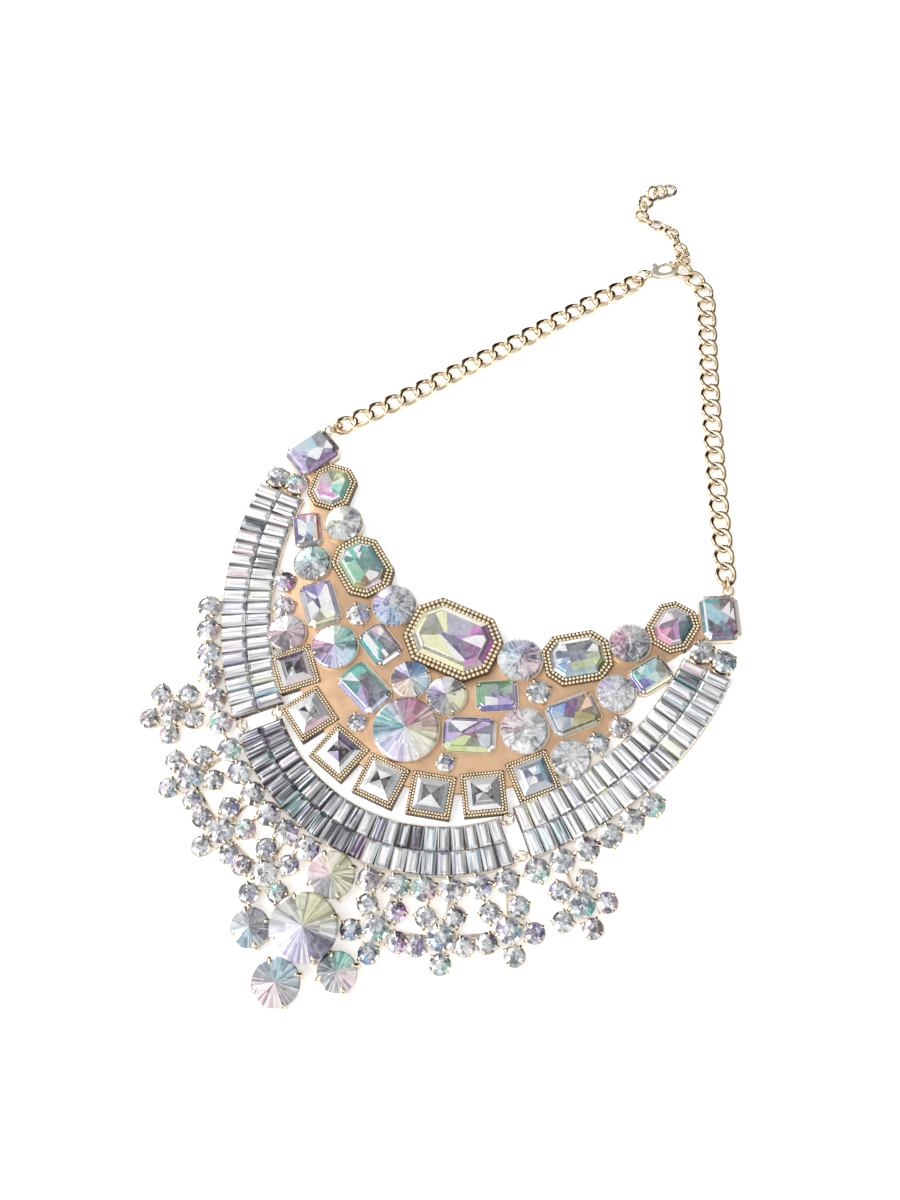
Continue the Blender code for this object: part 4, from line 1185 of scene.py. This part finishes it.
def chain_links(points, high):
    """Curb links along a route."""
    made = []
    stops = stops_along(points, LINK_LONG - 1.95 * WIRE)
    for k, (a, b) in enumerate(zip(stops, stops[1:])):
        run = b - a
        turn = math.atan2(run.y, run.x)
        made.append(copied(link, (a + b) / 2 + UP * high, turn))
    return made


ROUTES = {
    "_right": [(66.9, 75.8), (51.5, 109.5), (40.5, 134.5), (30.8, 157.5), (25.0, 168.6)],
    "_left": [(-66.5, 65.5), (-50.5, 88.0), (-32.0, 114.5), (-16.0, 139.0), (0.7, 161.9)],
}
print("points on the routes:", [len(route) for route in ROUTES.values()])

# %% [markdown]
# Each chain ends in round rings: one stands in the flat loop on the bib, and one goes through the
# clasp. The first ring's place follows from the end stone that it hangs on, and the places at the
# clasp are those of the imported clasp.

# %% Both chains
RING_WIRE = 1.1 * MM
RING_OUTER = 6.0 * MM
CLASP_RING = 8.0 * MM
CLASP_TURN = math.radians(43)
held = laid(11.46, 174.259, CLASP_RING / 2)
way = heading(CLASP_TURN + math.radians(30))
left_end = laid(*ROUTES["_left"][-1], CLASP_RING / 2)
clasp_ends = {"_right": (held, way), "_left": (left_end, heading(CLASP_TURN))}


def bib_loop(ending):
    """Middle of the flat loop on the end stone, and the way the chain leaves it."""
    seat = seats["end_rect" + ending]
    grow = 2 * (GAP + 0.55 * MM)
    corner = 0.26 * seat.width + (grow / 2) * (2 - math.sqrt(2))
    corners = cut_corners(seat.length + grow, seat.width + grow, corner)
    top = max((seat.pose @ point for point in corners), key=lambda point: point.y)
    loop = Vector((top.x, top.y + RING_OUTER / 4, RING_OUTER / 2))
    aim = laid(*ROUTES[ending][0], RING_OUTER / 2)
    return loop, (aim - loop).normalized()


for ending, (last, facing) in clasp_ends.items():
    loop, away = bib_loop(ending)
    flat = ring_at(loop, RING_OUTER / 2 - RING_WIRE, RING_WIRE, UP)
    foot = loop - UP * 3 * MM
    post = web(foot - Vector((0, 4 * MM, 0)), foot - Vector((0, 1.6 * MM, 0)), 2.2 * MM, 3.2 * MM)
    joined("bib_loop" + ending, [flat, post], GOLD, "gold")
    first = loop + away * (RING_OUTER - 2.5 * RING_WIRE - GAP)
    rings = [
        ring_at(first, (RING_OUTER - RING_WIRE) / 2, RING_WIRE, away.cross(UP)),
        ring_at(last, (CLASP_RING - RING_WIRE) / 2, RING_WIRE, facing.cross(UP)),
    ]
    points = [first.xy.to_3d() + away * 0.6 * MM] + [laid(*spot) for spot in ROUTES[ending]]
    if ending == "_right":
        points.append(held.xy.to_3d())
    joined("curb_chain" + ending, rings + chain_links(points, 2.0 * MM), CHAIN_GOLD, "gold", "chain" + ending)

# %% [markdown]
# The extender is a finer chain of round rings, each leaning the other way than the last. Its first
# ring hooks into the ring that the clasp holds and slopes down to the table.

# %% The extender
EXTENDER_ROUTE = [
    (7.6, 184.6), (1.8, 191.2), (-5.0, 190.6), (-10.6, 191.6), (-12.9, 198.4), (-10.8, 206.4), (-4.4, 212.4),
]
LEANS = (14, 50)
start = held + way * 2.0 * MM
route = [start.xy.to_3d(), (start + way * 5.4 * MM).xy.to_3d()] + [laid(*spot) for spot in EXTENDER_ROUTE]
stops = stops_along(route, 4.1 * MM)
rings = []
for k, (a, b) in enumerate(zip(stops, stops[1:])):
    lean = math.radians(0 if k in (0, len(stops) - 2) else LEANS[k % 2])
    lift = UP * (1.0 * MM + 2.6 * MM * math.sin(lean))
    low = a + (UP * held.z if k == 0 else lift)
    high = b + lift
    along = (high - low).normalized()
    across = Matrix.Rotation(lean, 3, along) @ along.cross(UP).normalized()
    radius = ((high - low).length + 1.2 * MM) / 2
    rings.append(ring_at((low + high) / 2, radius, 1.3 * MM, along.cross(across)))
joined("extender_rings", rings, CHAIN_GOLD, "gold", "extender")

# %% [markdown]
# The clasp's two solids already have the right shape, so they stay, but a real clasp is cast with
# round edges. A Remesh modifier covers each with small even squares, and a Smooth modifier then
# melts the edges, more on the hook than on the thin lever.

# %% The clasp
for name, rounds in (("clasp_body", 16), ("clasp_lever", 4)):
    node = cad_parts[name]
    node.data.materials.clear()
    node.data.materials.append(CLASP_METAL)
    skin = node.modifiers.new("Even skin", "REMESH")
    skin.mode = "VOXEL"
    skin.voxel_size = 0.12 * MM
    skin.use_smooth_shade = True
    melt = node.modifiers.new("Melted edges", "SMOOTH")
    melt.iterations = rounds
    print(name, "kept, with its edges melted")

# %% [markdown]
# The models that were only copied from are no longer needed.

# %% Clear the masters
for master in masters:
    bpy.data.objects.remove(master)
print("masters removed:", len(masters))

# %% [markdown]
# The photograph was taken indoors in very soft light, on a white surface, from above and a little
# to the right. The camera's place and axes were solved from marks on the necklace.

# %% Camera
RIGHT = Vector((0.8999, 0.4338, -0.0423))
TOP = Vector((-0.3820, 0.8317, 0.4029))
BACK = Vector((0.2099, -0.3465, 0.9143))
camera_data = bpy.data.cameras.new("camera")
camera = bpy.data.objects.new("camera", camera_data)
bpy.context.collection.objects.link(camera)
place = laid(-7.33, 0, 5 * MM) + BACK * 432 * MM
turned = Matrix((RIGHT, TOP, BACK)).transposed().to_4x4()
camera.matrix_world = Matrix.Translation(place) @ turned
camera_data.sensor_fit = "VERTICAL"
camera_data.sensor_height = 36
camera_data.lens = 36
camera_data.clip_start = 0.01
camera_data.clip_end = 20
bpy.context.scene.camera = camera
print("camera at", [round(value, 4) for value in place])

# %% [markdown]
# A large plane stands for the table, white and matt, and lit a little from below like a product
# photographer's light table, so that the shadows stay faint. The lights are wide panels, so that
# the facets and wires catch long soft highlights.

# %% Floor and lights
floor = add(bpy.ops.mesh.primitive_plane_add, "table_top", size=6, location=(0, 0, -0.0002))
done(floor)
made, start, shader = new_material("pale_table")
spot = start.node("TexCoord", output="Object")
mottle = start.node("TexNoise", {"Vector": spot, "Scale": 30, "Detail": 3})
tone = mottle.mix(rgb(0.98, 0.98, 0.98), rgb(0.995, 0.995, 0.99))
connect(made, shader, Base_Color=tone, Emission_Color=tone)
shader.inputs["Emission Strength"].default_value = 0.45
shader.inputs["Roughness"].default_value = 0.8
floor.data.materials.append(made)


def panel(name, place, size, power):
    """A square area light aimed at the middle of the bib."""
    data = bpy.data.lights.new(name, "AREA")
    data.shape = "SQUARE"
    data.size = size
    data.energy = power
    light = bpy.data.objects.new(name, data)
    bpy.context.collection.objects.link(light)
    back = Vector(place) - Vector((0, -0.03, 0))
    light.matrix_world = Matrix.Translation(place) @ back.to_track_quat("Z", "Y").to_matrix().to_4x4()


panel("key_light", (-0.7, -0.9, 1.0), 0.8, 12)
panel("fill_light", (-1.0, 0.5, 0.8), 0.7, 6)
panel("edge_light", (1.0, -0.3, 0.7), 0.5, 3)
print("a table and 3 panels")

# %% [markdown]
# What the metal and the stones mirror is the sky. It is white on the side of the key light and dark
# low down on the other side, so that the facets and wires get contrast. The camera itself sees a
# plain white backdrop instead, which a Light Path node tells apart.

# %% Sky
world = bpy.data.worlds.new("studio")
bpy.context.scene.world = world
world.use_nodes = True
sky = world.node_tree.nodes["Background"]
start = Socket(world.node_tree)
rise = start.node(
    "VectorMath", {0: start.node("TexCoord", output="Generated"), 1: (-0.25, -0.50, 0.80)},
    output="Value", operation="DOT_PRODUCT",
)
white = rgb(1.0, 1.0, 1.0)
reflected = rise.between(0.1, 0.7).mix(rgb(0.12, 0.11, 0.10), white)
backdrop = start.node("LightPath", output="Is Camera Ray")
world.node_tree.links.new(backdrop.mix(reflected, white).output, sky.inputs["Color"])
sky.inputs["Strength"].default_value = 0.9
bpy.context.scene.view_settings.view_transform = "Standard"
print("a sky with a white backdrop")
